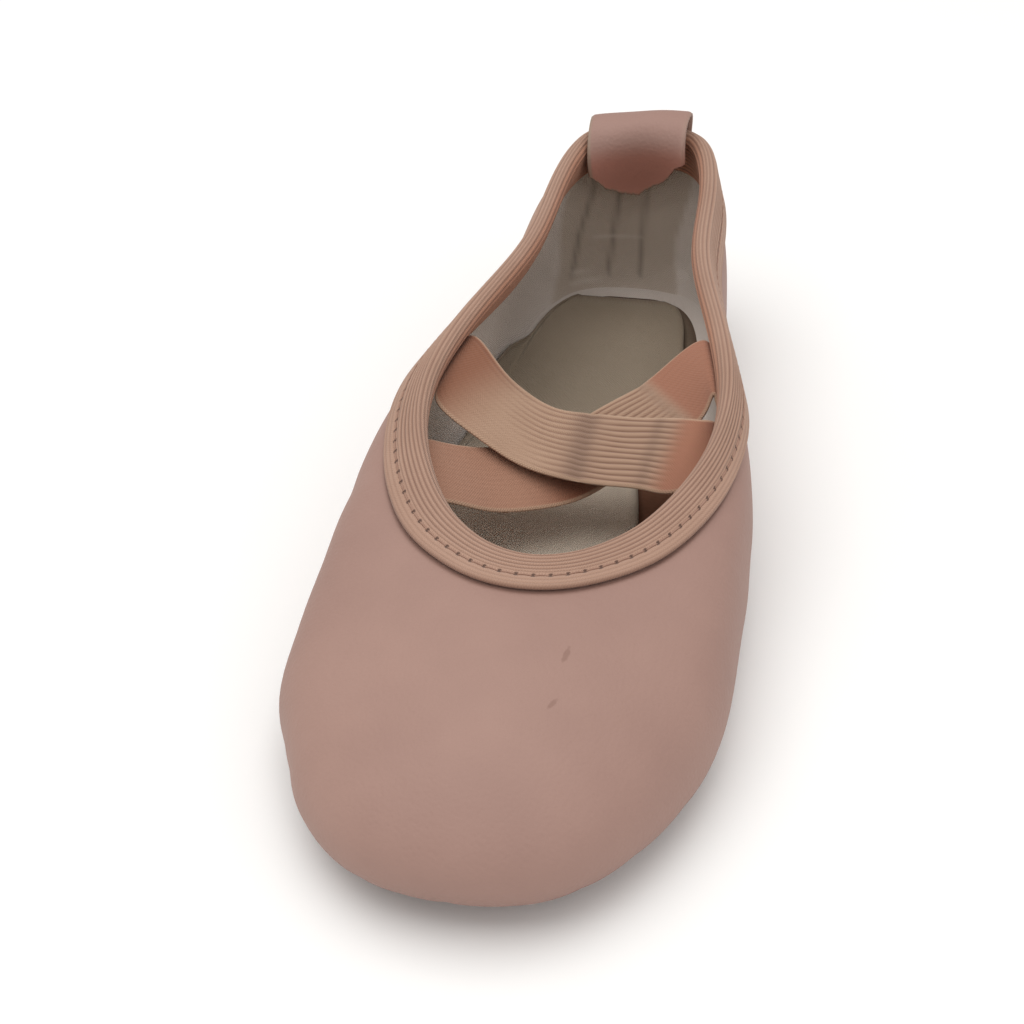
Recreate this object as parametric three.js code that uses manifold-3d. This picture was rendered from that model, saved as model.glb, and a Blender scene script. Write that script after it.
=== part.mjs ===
// A child's soft ballet slipper, standing empty on its sole: a hollow leather upper gathered under a thin suede
// outsole, an insole, an elastic binding folded over the collar, two crossed elastic straps and a folded heel tab.
// Millimetres. +Z is up, the toe points to -Y, and the origin is on the floor below the middle of the slipper.

import * as THREE from "three";
import { mergeVertices } from "three/addons/utils/BufferGeometryUtils.js";
import Module from "manifold-3d";

const wasm = await Module();
wasm.setup();

// The last
const LENGTH = 200;
const BALL_WIDTH = 78.5;
const HEEL_HEIGHT = 46;
const INSTEP_HEIGHT = 29.4;

// The empty upper leans a little to one side: its collar stands this far towards +X
const COLLAR_SWAY = 2.3;

// Sheet goods
const GAP = 0.3;
const WALL = 1.4;
const SOLE_THICKNESS = 1.8;
const ARCH_RISE = 2;
const TOE_SPRING = 3;
const INSOLE_THICKNESS = 1.6;
const MARGIN = 6;
const BAND = 1.0;
const BAND_WIDTH = 9;
const STRAP_WIDTH = 16;
const STRAP_THICKNESS = 1.2;
const TAB_WIDTH = 23;
const TAB_THICKNESS = 1.4;

// Gathers round the toe
const GATHER_HEIGHT = 0.9;
const FIRST_GATHER_ROW = 8;

// The slipper's side, one row for each station from the back of the heel round to the tip of the toe.
// along: share of the length from the heel. wide: share of half the ball width.
// belly: height of the widest line, mm. topAlong, topWide: the collar's edge, as along and wide.
// topHigh: the collar's height, from 0 at the throat to 1 at the heel. lean: how far the wall leans in there, degrees.
// tuck: how far the upper curls in under the side, mm. inset: from the widest line in to the outsole's edge, mm.
const COLUMNS = ["along", "wide", "belly", "topAlong", "topWide", "topHigh", "lean", "tuck", "inset"];
const STATIONS = [
  [0.0, 0.0, 16, 0.016, 0.0, 1.0, 12, 7, 8],
  [0.032, 0.433, 16, 0.028, 0.31, 0.964, 13, 6, 8],
  [0.13, 0.617, 15, 0.117, 0.439, 0.783, 15, 5, 8.5],
  [0.25, 0.675, 14, 0.236, 0.475, 0.66, 17, 5, 10],
  [0.373, 0.764, 13, 0.348, 0.614, 0.56, 39, 6, 12],
  [0.495, 0.933, 12, 0.447, 0.724, 0.416, 57, 7.5, 12.5],
  [0.61, 0.986, 11.5, 0.528, 0.713, 0.253, 64, 9, 12],
  [0.721, 1.0, 11, 0.592, 0.608, 0.12, 75, 10, 11],
  [0.827, 0.947, 10.5, 0.641, 0.468, 0.036, 85, 10, 11],
  [0.922, 0.724, 10, 0.672, 0.32, 0.0, 91, 10, 11],
  [0.983, 0.406, 9.5, 0.692, 0.17, 0.0, 94, 10, 11],
  [1.0, 0.0, 9.5, 0.7, 0.0, 0.0, 96, 10, 11],
];
const TOE = STATIONS.length - 1;
const ROWS_ROUND = 2 * TOE;
const SIDEWAYS = ["wide", "topWide"];

// A smooth closed curve through the values, one for each row round the slipper
function closedCurve(values) {
  const n = values.length;
  const slope = new Array(n).fill(0);
  const settlingPasses = 40;
  for (let pass = 0; pass < settlingPasses; pass++)
    for (let i = 0; i < n; i++) {
      const before = (i + n - 1) % n;
      const after = (i + 1) % n;
      slope[i] = (3 * (values[after] - values[before]) - slope[before] - slope[after]) / 4;
    }
  return (row) => {
    const turn = ((row % n) + n) % n;
    const i = Math.floor(turn);
    const t = turn - i;
    const next = (i + 1) % n;
    const rise = values[next] - values[i];
    const bend = 3 * rise - 2 * slope[i] - slope[next];
    const ease = slope[i] + slope[next] - 2 * rise;
    return values[i] + t * (slope[i] + t * (bend + t * ease));
  };
}

// Each column as a function of the row round the slipper: 0 at the heel, +X side first, TOE at the toe, then back
function roundColumn(name) {
  const column = COLUMNS.indexOf(name);
  const side = STATIONS.map((station) => station[column]);
  const otherSide = side.slice(1, TOE).reverse();
  const sign = SIDEWAYS.includes(name) ? -1 : 1;
  return closedCurve([...side, ...otherSide.map((value) => sign * value)]);
}
const at = Object.fromEntries(COLUMNS.map((name) => [name, roundColumn(name)]));

const yAlong = (share) => LENGTH * (0.5 - share);
const xWide = (share) => (share * BALL_WIDTH) / 2;

// Height of the outsole's underside: flat under heel and forefoot, raised at the arch and at the toe
const ARCH_FROM = 0.27;
const ARCH_TO = 0.6;
const SPRING_FROM = 0.82;
function floorHeight(y) {
  const share = 0.5 - y / LENGTH;
  if (share > ARCH_FROM && share < ARCH_TO) {
    const across = (share - ARCH_FROM) / (ARCH_TO - ARCH_FROM);
    return ARCH_RISE * Math.sin(Math.PI * across) ** 2;
  }
  if (share > SPRING_FROM) return TOE_SPRING * ((share - SPRING_FROM) / (1 - SPRING_FROM)) ** 2;
  return 0;
}
const upperUnderside = (y) => floorHeight(y) + SOLE_THICKNESS + GAP;

// A point of the widest line, and the level direction in from it
function widestPoint(row) {
  const y = yAlong(at.along(row));
  return new THREE.Vector3(xWide(at.wide(row)), y, floorHeight(y) + at.belly(row));
}
function inward(row) {
  const step = 0.05;
  const travel = widestPoint(row + step).sub(widestPoint(row - step));
  return new THREE.Vector3(travel.y, -travel.x, 0).normalize();
}
function insetPoint(row, inset) {
  const point = widestPoint(row).addScaledVector(inward(row), inset);
  point.z = floorHeight(point.y);
  return point;
}

function collarPoint(row) {
  const height = INSTEP_HEIGHT + (HEEL_HEIGHT - INSTEP_HEIGHT) * at.topHigh(row);
  return new THREE.Vector3(xWide(at.topWide(row)) + COLLAR_SWAY, yAlong(at.topAlong(row)), height);
}

// One line of the upper's outside, from the collar's edge over the side and in under the foot
const RISE_HANDLE = 0.7;
const COLLAR_HANDLE = 0.42;
const CURL_HANDLE = 0.56;
function meridian(row) {
  const top = collarPoint(row);
  const side = widestPoint(row);
  const level = new THREE.Vector3(top.x - side.x, top.y - side.y, 0);
  const reach = level.length();
  level.normalize();
  const lean = THREE.MathUtils.degToRad(at.lean(row));
  const climb = new THREE.Vector3(0, 0, Math.cos(lean)).addScaledVector(level, Math.sin(lean));
  const span = Math.hypot(reach, top.z - side.z);
  const wall = new THREE.CubicBezierCurve3(
    top,
    top.clone().addScaledVector(climb, -COLLAR_HANDLE * span),
    side.clone().add(new THREE.Vector3(0, 0, RISE_HANDLE * (top.z - side.z))),
    side,
  );
  const tucked = insetPoint(row, at.tuck(row));
  tucked.z = upperUnderside(tucked.y);
  const drop = side.z - tucked.z;
  const curl = new THREE.CubicBezierCurve3(
    side,
    side.clone().add(new THREE.Vector3(0, 0, -CURL_HANDLE * drop)),
    tucked.clone().addScaledVector(inward(row), -CURL_HANDLE * at.tuck(row)),
    tucked,
  );
  const edge = insetPoint(row, at.inset(row) + MARGIN);
  edge.z = upperUnderside(edge.y);
  const points = [...wall.getPoints(48), ...curl.getPoints(24).slice(1), edge];
  const gone = [0];
  for (let i = 1; i < points.length; i++) gone.push(gone[i - 1] + points[i].distanceTo(points[i - 1]));
  const bellyAt = gone[48];
  const tuckAt = gone[72];
  return { points, gone, bellyAt, tuckAt, length: gone.at(-1) };
}
const kept = new Map();
function meridianAt(row) {
  const key = Math.round((((row % ROWS_ROUND) + ROWS_ROUND) % ROWS_ROUND) * 1e4);
  if (!kept.has(key)) kept.set(key, meridian(key / 1e4));
  return kept.get(key);
}
function alongMeridian(row, down) {
  const { points, gone } = meridianAt(row);
  let i = 1;
  while (i < points.length - 1 && gone[i] < down) i++;
  const t = (down - gone[i - 1]) / (gone[i] - gone[i - 1]);
  return points[i - 1].clone().lerp(points[i], t);
}

// The upper's own surface: down is mm from the collar's edge along the outside, out is mm off it
function skin(row, down, out) {
  const rowStep = 0.06;
  const downStep = 0.8;
  const across = alongMeridian(row + rowStep, down).sub(alongMeridian(row - rowStep, down));
  const along = alongMeridian(row, down + downStep).sub(alongMeridian(row, down - downStep));
  const normal = across.cross(along).normalize();
  return alongMeridian(row, down).addScaledVector(normal, out);
}

// A closed mesh from rings of points: the rings follow each other round a loop, or end in flat caps
function solidFromRings(rings, { loop }) {
  const perRing = rings[0].length;
  const positions = rings.flat().flatMap((point) => point.toArray());
  const faces = [];
  const joins = loop ? rings.length : rings.length - 1;
  for (let i = 0; i < joins; i++)
    for (let j = 0; j < perRing; j++) {
      const a = i * perRing + j;
      const b = i * perRing + ((j + 1) % perRing);
      const c = ((i + 1) % rings.length) * perRing + ((j + 1) % perRing);
      const d = ((i + 1) % rings.length) * perRing + j;
      faces.push(a, b, c, a, c, d);
    }
  if (!loop)
    for (let j = 1; j < perRing - 1; j++) {
      const last = (rings.length - 1) * perRing;
      faces.push(0, j + 1, j, last, last + j, last + j + 1);
    }
  const geometry = new THREE.BufferGeometry();
  geometry.setAttribute("position", new THREE.Float32BufferAttribute(positions, 3));
  geometry.setIndex(faces);
  return geometry;
}

function toSolid(geometry) {
  const merged = mergeVertices(geometry);
  return new wasm.Manifold(
    new wasm.Mesh({
      numProp: 3,
      vertProperties: new Float32Array(merged.attributes.position.array),
      triVerts: new Uint32Array(merged.index.array),
    }),
  );
}
function fromSolid(solid) {
  const mesh = solid.getMesh();
  const geometry = new THREE.BufferGeometry();
  geometry.setAttribute("position", new THREE.BufferAttribute(new Float32Array(mesh.vertProperties), 3));
  geometry.setIndex(new THREE.BufferAttribute(new Uint32Array(mesh.triVerts), 1));
  return geometry;
}

// Rows round the slipper at which the upper and the binding are cut into faces, closer together at the toe
const SIDE_STEPS = 4;
const TOE_STEPS = 6;
const roundRows = [];
for (let row = 0; row < ROWS_ROUND; row++) {
  const atToe = row >= FIRST_GATHER_ROW && row < ROWS_ROUND - FIRST_GATHER_ROW;
  const steps = atToe ? TOE_STEPS : SIDE_STEPS;
  for (let i = 0; i < steps; i++) roundRows.push(row + i / steps);
}

// Gathers: every second row at the toe stands out below the widest line
function gather(row, down) {
  const { bellyAt, tuckAt } = meridianAt(row);
  const fromToe = Math.abs(row - TOE) / (TOE - FIRST_GATHER_ROW);
  if (fromToe >= 1 || down <= bellyAt) return 0;
  const step = Math.round(row * TOE_STEPS);
  if (step % 2) return 0;
  const under = Math.min(1, (down - bellyAt) / (tuckAt - bellyAt));
  return GATHER_HEIGHT * Math.sin(Math.PI * Math.min(under, 0.95)) * Math.min(1, 3 * (1 - fromToe));
}

const BAND_ROWS = [0, 0.5, 1];
const WALL_SHARES = [0.25, 0.5, 0.7, 0.86, 1];
const CURL_SHARES = [0.25, 0.5, 0.75, 1];
function downRows(row) {
  const { bellyAt, tuckAt, length } = meridianAt(row);
  return [
    ...BAND_ROWS.map((share) => share * BAND_WIDTH),
    ...WALL_SHARES.map((share) => BAND_WIDTH + share * (bellyAt - BAND_WIDTH)),
    ...CURL_SHARES.map((share) => bellyAt + share * (tuckAt - bellyAt)),
    length,
  ];
}

function upper() {
  const rings = roundRows.map((row) => {
    const downs = downRows(row);
    const outside = downs.map((down) => skin(row, down, gather(row, down)));
    const inside = downs.map((down) => skin(row, down, -WALL));
    return [...outside, ...inside.reverse()];
  });
  return solidFromRings(rings, { loop: true });
}

// The elastic binding is a channel over the collar's edge
function binding() {
  const outFace = GAP + BAND;
  const inFace = -(WALL + GAP + BAND);
  const rings = roundRows.map((row) => {
    const outerLeg = [1, 0.5, 0].map((share) => skin(row, share * BAND_WIDTH, outFace));
    const crest = [0.75, 0.5, 0.25].map((share) => {
      const rise = Math.sin(Math.PI * share) * (outFace - inFace) * 0.5;
      return skin(row, -rise * 0.7, inFace + share * (outFace - inFace));
    });
    const innerLeg = [0, 0.5, 1].map((share) => skin(row, share * BAND_WIDTH, inFace));
    const channelIn = [1, 0.5, 0].map((share) => skin(row, share * BAND_WIDTH, -(WALL + GAP)));
    const channelTop = [skin(row, -GAP, -(WALL + GAP)), skin(row, -GAP, GAP)];
    const channelOut = [0, 0.5, 1].map((share) => skin(row, share * BAND_WIDTH, GAP));
    return [...outerLeg, ...crest, ...innerLeg, ...channelIn, ...channelTop, ...channelOut];
  });
  return solidFromRings(rings, { loop: true });
}

// A plate under the foot: its edge keeps an inset from the widest line, its faces follow the sole's curve
const PLATE_STEPS = 3;
function plate(insetOf, low, high) {
  const positions = [];
  const faces = [];
  const sides = [];
  for (let step = 0; step <= TOE * PLATE_STEPS; step++) {
    const row = step / PLATE_STEPS;
    sides.push([insetPoint(row, insetOf(row)), insetPoint(ROWS_ROUND - row, insetOf(row))]);
  }
  const first = 0;
  const last = sides.length - 1;
  const put = (point, height) => positions.push(point.x, point.y, point.z + height) / 3 - 1;
  const corners = sides.map(([right, left], i) => {
    const tip = i === first || i === last;
    const rightCorner = { low: put(right, low), high: put(right, high) };
    const leftCorner = tip ? rightCorner : { low: put(left, low), high: put(left, high) };
    return { right: rightCorner, left: leftCorner };
  });
  for (let i = 0; i < last; i++) {
    const { right: r0, left: l0 } = corners[i];
    const { right: r1, left: l1 } = corners[i + 1];
    faces.push([r0.high, l0.high, l1.high], [r0.high, l1.high, r1.high]);
    faces.push([r0.low, l1.low, l0.low], [r0.low, r1.low, l1.low]);
    faces.push([r0.low, r0.high, r1.high], [r0.low, r1.high, r1.low]);
    faces.push([l0.low, l1.high, l0.high], [l0.low, l1.low, l1.high]);
  }
  const whole = faces.filter(([a, b, c]) => a !== b && b !== c && a !== c);
  const geometry = new THREE.BufferGeometry();
  geometry.setAttribute("position", new THREE.Float32BufferAttribute(positions, 3));
  geometry.setIndex(whole.flat());
  return geometry;
}

const outsole = () => plate(at.inset, 0, SOLE_THICKNESS);

// The insole fills the opening in the upper's margin and lies on top of it
const SOCK_INSET = 1;
function insole() {
  const seat = SOLE_THICKNESS + GAP;
  const shelf = seat + WALL + GAP;
  const filler = plate((row) => at.inset(row) + MARGIN + GAP, seat, shelf + INSOLE_THICKNESS / 2);
  const sock = plate((row) => at.tuck(row) + SOCK_INSET, shelf, shelf + INSOLE_THICKNESS);
  return fromSolid(toSolid(filler).add(toSolid(sock)));
}

// A flat band: its rails run side by side along its length, each through its own point of every station
function ribbon(stations, thickness, steps) {
  const rails = stations[0].map((_, i) => new THREE.CatmullRomCurve3(stations.map((points) => points[i])));
  const rings = [];
  for (let step = 0; step <= steps; step++) {
    const middle = rails.map((rail) => rail.getPoint(step / steps));
    const faceOf = (i) => {
      const across = middle[Math.min(i + 1, middle.length - 1)].clone().sub(middle[Math.max(i - 1, 0)]);
      return across.cross(rails[i].getTangent(step / steps)).normalize();
    };
    const side = (sign) =>
      middle.map((point, i) => point.clone().addScaledVector(faceOf(i), (sign * thickness) / 2));
    rings.push([...side(-1), ...side(1).reverse()]);
  }
  return solidFromRings(rings, { loop: false });
}

// Places across a band, as shares of half its width
const ACROSS = [-1, -0.5, 0, 0.5, 1];

// A station of a band that lies along the upper: its points are level with each other below the collar's edge
function layOnUpper(row, down, out, width) {
  const mmPerRow = skin(row + 0.5, down, out).distanceTo(skin(row - 0.5, down, out));
  return ACROSS.map((share) => skin(row + (share * width) / 2 / mmPerRow, down, out));
}

// The two straps are sewn inside the collar and sag across the opening, one over the other.
// x, y, z: the middle of the strap, mm. tilt: how far its rear edge is turned up, degrees.
const SEAM_ALLOWANCE = 0.6;
const STRAP_SEAM = { deep: 9, shallow: 2.5, out: -(WALL + GAP + BAND + SEAM_ALLOWANCE + STRAP_THICKNESS / 2) };
const STRAP_STEPS = 30;
const SAG_COLUMNS = ["x", "y", "z", "tilt"];
const STRAP_OVER = {
  firstRow: 17.3,
  lastRow: 5.85,
  sag: [
    [-20.9, 10.6, 32.1, 6],
    [-13.9, 5.8, 28.5, 7],
    [-5, 2.8, 25.2, 12],
    [3, 0.3, 25.6, 20],
    [12.6, -3, 27.6, 23],
    [20.1, -5.1, 29.4, 26],
    [25.4, -6.2, 30.3, 26],
  ],
};
const STRAP_UNDER = {
  firstRow: 15.3,
  lastRow: 4.5,
  sag: [
    [-18.9, -12.2, 25.4, 17],
    [-13.4, -8.8, 22.2, 18],
    [-6.1, -4.5, 20.4, 17],
    [1.2, -0.4, 20.7, 19],
    [8, 3.6, 23.8, 18],
    [15, 7.8, 27.4, 10],
    [21.7, 13.6, 31, 4],
  ],
};
function sagStations(sag) {
  const rows = sag.map((row) => Object.fromEntries(SAG_COLUMNS.map((name, i) => [name, row[i]])));
  return rows.map(({ x, y, z, tilt }, i) => {
    const before = rows[Math.max(i - 1, 0)];
    const after = rows[Math.min(i + 1, rows.length - 1)];
    const run = new THREE.Vector3(after.x - before.x, after.y - before.y, 0).normalize();
    const turn = THREE.MathUtils.degToRad(tilt);
    const level = new THREE.Vector3(-run.y, run.x, 0).multiplyScalar(Math.cos(turn));
    const rear = level.add(new THREE.Vector3(0, 0, Math.sin(turn)));
    return ACROSS.map((share) => new THREE.Vector3(x, y, z).addScaledVector(rear, (share * STRAP_WIDTH) / 2));
  });
}
function strap({ firstRow, lastRow, sag }) {
  const { deep, shallow, out } = STRAP_SEAM;
  const sewn = (row, down) => layOnUpper(row, down, out, STRAP_WIDTH);
  const stations = [
    sewn(firstRow, deep),
    sewn(firstRow, shallow),
    ...sagStations(sag),
    sewn(lastRow, shallow).reverse(),
    sewn(lastRow, deep).reverse(),
  ];
  return ribbon(stations, STRAP_THICKNESS, STRAP_STEPS);
}

// The heel tab: a strip sewn outside the heel, folded over the binding and sewn down inside.
// down, out: as for the upper's surface, mm. half: half its width, mm.
// bow: how far its two edges are bent forward round the heel, mm.
const TAB_COLUMNS = ["down", "out", "half", "bow"];
const TAB_FOLD = [
  [14, 2.8, TAB_WIDTH / 2, 1.4],
  [7, 2.8, TAB_WIDTH / 2, 1.4],
  [1, 2.8, TAB_WIDTH / 2, 1.4],
  [-2.6, 2.4, TAB_WIDTH / 2, 1.4],
  [-4.1, -0.6, 11.3, 1.4],
  [-3.3, -4.4, 11.1, 2.2],
  [-0.5, -6.2, 11, 3.2],
  [3.5, -6, 10.6, 4],
  [8, -5.2, 9.6, 3.8],
  [12, -4.7, 7.2, 2.4],
  [14.4, -4.4, 4.4, 1],
];
const TAB_STEPS = 24;
// It is sewn on a little crooked: to the -X side, mm, and turned so that its +X edge is higher, degrees
const TAB_ASIDE = 1.3;
const TAB_TURN = 6;
function heelTab() {
  const rows = TAB_FOLD.map((row) => Object.fromEntries(TAB_COLUMNS.map((name, i) => [name, row[i]])));
  const hinge = collarPoint(0);
  const towardsToe = new THREE.Vector3(0, -1, 0);
  const crooked = (point) => {
    const turned = point.sub(hinge).applyAxisAngle(towardsToe, THREE.MathUtils.degToRad(TAB_TURN));
    return turned.add(hinge).add(new THREE.Vector3(-TAB_ASIDE, 0, 0));
  };
  const stations = rows.map(({ down, out, half, bow }) => {
    const middle = skin(0, down, out);
    return ACROSS.map((share) => crooked(new THREE.Vector3(share * half, -bow * share ** 2, 0).add(middle)));
  });
  return ribbon(stations, TAB_THICKNESS, TAB_STEPS);
}

function namedMesh(name, geometry, color, roughness) {
  const made = toSolid(geometry).volume() < 0 ? flipped(geometry) : geometry;
  made.computeVertexNormals();
  const mesh = new THREE.Mesh(made, new THREE.MeshStandardMaterial({ color, roughness, metalness: 0 }));
  mesh.name = name;
  return mesh;
}
function flipped(geometry) {
  const turned = geometry.clone();
  const faces = Array.from(geometry.index.array);
  for (let i = 0; i < faces.length; i += 3) [faces[i], faces[i + 1]] = [faces[i + 1], faces[i]];
  turned.setIndex(faces);
  return turned;
}

const slipper = new THREE.Group();
slipper.name = "ballet_slipper";
slipper.add(
  namedMesh("upper", upper(), 0xb39085, 0.6),
  namedMesh("collar_binding", binding(), 0xb08a79, 0.9),
  namedMesh("outsole", outsole(), 0x9c8271, 0.95),
  namedMesh("insole", insole(), 0x8b7966, 0.95),
  namedMesh("strap_over", strap(STRAP_OVER), 0xa67b68, 0.9),
  namedMesh("strap_under", strap(STRAP_UNDER), 0xa17562, 0.9),
  namedMesh("heel_tab", heelTab(), 0xb39085, 0.6),
);

// The origin is on the floor, below the middle of the slipper's box
const box = new THREE.Box3().setFromObject(slipper);
const middle = box.getCenter(new THREE.Vector3());
slipper.position.set(-middle.x, -middle.y, -box.min.z);

export default slipper;
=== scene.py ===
# %% [markdown]
# # A child's soft ballet slipper
# One slipper stands empty on a pale floor. Its leather is gathered in round a thin suede sole, a
# ribbed elastic binding is folded over the collar, two elastic straps cross the opening and a leather
# tab is folded over the heel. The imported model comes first, because every piece here has to lie where its
# solid lies.

# %% Load the frame
import math

import bpy
import numpy as np
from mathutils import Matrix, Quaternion, Vector


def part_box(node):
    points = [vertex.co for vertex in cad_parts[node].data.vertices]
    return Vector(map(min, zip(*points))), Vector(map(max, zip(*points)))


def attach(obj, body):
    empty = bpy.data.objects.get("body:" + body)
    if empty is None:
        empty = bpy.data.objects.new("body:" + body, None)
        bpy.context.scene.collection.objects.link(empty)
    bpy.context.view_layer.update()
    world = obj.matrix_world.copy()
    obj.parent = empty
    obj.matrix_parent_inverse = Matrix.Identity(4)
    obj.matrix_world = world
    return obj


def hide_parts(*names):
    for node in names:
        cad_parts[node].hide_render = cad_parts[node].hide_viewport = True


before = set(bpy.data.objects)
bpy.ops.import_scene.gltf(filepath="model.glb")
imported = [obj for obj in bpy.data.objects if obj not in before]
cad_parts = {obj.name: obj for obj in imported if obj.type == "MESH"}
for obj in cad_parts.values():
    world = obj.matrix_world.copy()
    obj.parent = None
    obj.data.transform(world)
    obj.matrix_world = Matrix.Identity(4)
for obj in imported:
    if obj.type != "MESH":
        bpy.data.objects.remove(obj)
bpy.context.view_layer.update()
print("solids:", sorted(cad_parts))

# %% [markdown]
# ## Camera, light and floor
# A slipper on the ground is looked at from in front and above, from less than arm's length. The
# camera could be aimed with a constraint, but three angles and a place are easier to compare with a
# photograph, so they are written down. The lens is long enough that the slipper fills the frame.

# %% Camera
CAMERA_AT = Vector((0.0536, -0.2679, 0.2182))
CAMERA_YAW, CAMERA_PITCH, CAMERA_ROLL = 13.41, 37.5, -2.34
CAMERA_LENS, SENSOR = 60.8, 36.0

yaw, pitch = math.radians(CAMERA_YAW), math.radians(CAMERA_PITCH)
look = Vector((-math.sin(yaw) * math.cos(pitch), math.cos(yaw) * math.cos(pitch), -math.sin(pitch)))
camera = bpy.data.objects.new("camera", bpy.data.cameras.new("camera"))
camera.location = CAMERA_AT
turn = look.to_track_quat("-Z", "Y") @ Quaternion((0, 0, 1), math.radians(CAMERA_ROLL))
camera.rotation_euler = turn.to_euler()
camera.data.lens = CAMERA_LENS
camera.data.sensor_width = SENSOR
camera.data.clip_start = 0.01
bpy.context.scene.collection.objects.link(camera)
bpy.context.scene.camera = camera
print("camera at", tuple(camera.location), "lens", CAMERA_LENS)

# %% Light and floor
FLOOR_SIZE = 4.0
WORLD_STRENGTH = 0.6
scene = bpy.context.scene
scene.view_settings.view_transform = "Standard"
world = bpy.data.worlds.new("studio")
world.use_nodes = True
world.node_tree.nodes["Background"].inputs["Color"].default_value = (1.0, 0.985, 0.96, 1)
world.node_tree.nodes["Background"].inputs["Strength"].default_value = WORLD_STRENGTH
scene.world = world

# name: place, aimed at, size, watts, colour
LAMPS = {
    "key": ((-0.15, -0.02, 1.1), (0, 0, 0), 1.2, 8.6, (1.0, 0.99, 0.97)),
    "fill": ((0.8, -0.5, 0.7), (0, 0, 0.02), 1.0, 1.6, (1.0, 0.99, 0.98)),
}


def area_lamp(name, place, aim, size, watts, colour):
    lamp = bpy.data.objects.new(name, bpy.data.lights.new(name, "AREA"))
    lamp.data.size = size
    lamp.data.energy = watts
    lamp.data.color = colour
    lamp.location = place
    lamp.rotation_euler = (Vector(aim) - Vector(place)).to_track_quat("-Z", "Y").to_euler()
    scene.collection.objects.link(lamp)
    return lamp


for lamp_name, settings in LAMPS.items():
    area_lamp(lamp_name, *settings)

floor_mesh = bpy.data.meshes.new("floor")
half = FLOOR_SIZE / 2
floor_corners = [(-half, -half, 0), (half, -half, 0), (half, half, 0), (-half, half, 0)]
floor_mesh.from_pydata(floor_corners, [], [(0, 1, 2, 3)])
floor = bpy.data.objects.new("floor", floor_mesh)
scene.collection.objects.link(floor)
print("lamps:", list(LAMPS))

# %% [markdown]
# ## The last's surface
# A shoemaker stretches the upper over a last. Here the last's surface is worked out from the same
# table as the solids: each row is one station from the back of the heel round to the toe, and a
# smooth closed curve through a column gives that size at any place round the slipper. A subdivision
# cage could be modelled by hand instead, but then the binding, the straps and the tab would not know
# where the leather lies. All sizes are in millimetres, and only the finished meshes are turned into
# metres.

# %% The last's table
MM = 0.001
LENGTH, BALL_WIDTH, HEEL_HEIGHT, INSTEP_HEIGHT = 200.0, 78.5, 46.0, 29.4
COLLAR_SWAY = 2.3
GAP, WALL, SOLE_THICKNESS, INSOLE_THICKNESS = 0.3, 1.4, 1.8, 1.6
ARCH_RISE, ARCH_FROM, ARCH_TO = 2.0, 0.27, 0.6
TOE_SPRING, SPRING_FROM = 3.0, 0.82
MARGIN, SOCK_INSET = 6.0, 1.0
BAND, BAND_WIDTH = 1.0, 9.0
STRAP_WIDTH, STRAP_THICKNESS = 16.0, 1.2
TAB_WIDTH, TAB_THICKNESS = 23.0, 1.4

# along: share of the length from the heel. wide: share of half the ball width. belly: height of the
# widest line. topAlong, topWide, topHigh: the collar's edge. lean: how far the wall leans in there,
# in degrees. tuck: how far the leather curls in under the side. inset: from the widest line in to the
# outsole's edge.
COLUMNS = ["along", "wide", "belly", "topAlong", "topWide", "topHigh", "lean", "tuck", "inset"]
STATIONS = np.array([
    [0.0, 0.0, 16, 0.016, 0.0, 1.0, 12, 7, 8],
    [0.032, 0.433, 16, 0.028, 0.31, 0.964, 13, 6, 8],
    [0.13, 0.617, 15, 0.117, 0.439, 0.783, 15, 5, 8.5],
    [0.25, 0.675, 14, 0.236, 0.475, 0.66, 17, 5, 10],
    [0.373, 0.764, 13, 0.348, 0.614, 0.56, 39, 6, 12],
    [0.495, 0.933, 12, 0.447, 0.724, 0.416, 57, 7.5, 12.5],
    [0.61, 0.986, 11.5, 0.528, 0.713, 0.253, 64, 9, 12],
    [0.721, 1.0, 11, 0.592, 0.608, 0.12, 75, 10, 11],
    [0.827, 0.947, 10.5, 0.641, 0.468, 0.036, 85, 10, 11],
    [0.922, 0.724, 10, 0.672, 0.32, 0.0, 91, 10, 11],
    [0.983, 0.406, 9.5, 0.692, 0.17, 0.0, 94, 10, 11],
    [1.0, 0.0, 9.5, 0.7, 0.0, 0.0, 96, 10, 11],
])
TOE = len(STATIONS) - 1
ROWS_ROUND = 2 * TOE
SIDEWAYS = ("wide", "topWide")

# The toe's tip lies where the solid upper's does
TOE_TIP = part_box("upper")[0].y / MM
print("toe tip at", round(TOE_TIP, 2), "mm,", ROWS_ROUND, "rows round the slipper")


# %% Smooth curves through the table
def closed_curve(values):
    """A smooth closed curve through one value for each row, as a function of the row."""
    n = len(values)
    ties = 4 * np.eye(n) + np.roll(np.eye(n), 1, 1) + np.roll(np.eye(n), -1, 1)
    slope = np.linalg.solve(ties, 3 * (np.roll(values, -1) - np.roll(values, 1)))

    def curve(rows):
        turned = np.mod(rows, n)
        i = np.floor(turned).astype(int) % n
        t = turned - np.floor(turned)
        after = (i + 1) % n
        rise = values[after] - values[i]
        bend = 3 * rise - 2 * slope[i] - slope[after]
        ease = slope[i] + slope[after] - 2 * rise
        return values[i] + t * (slope[i] + t * (bend + t * ease))

    return curve


def round_column(name):
    side = STATIONS[:, COLUMNS.index(name)]
    sign = -1 if name in SIDEWAYS else 1
    return closed_curve(np.concatenate([side, sign * side[1:TOE][::-1]]))


at = {name: round_column(name) for name in COLUMNS}


def y_along(share):
    return TOE_TIP + LENGTH * (1 - share)


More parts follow.
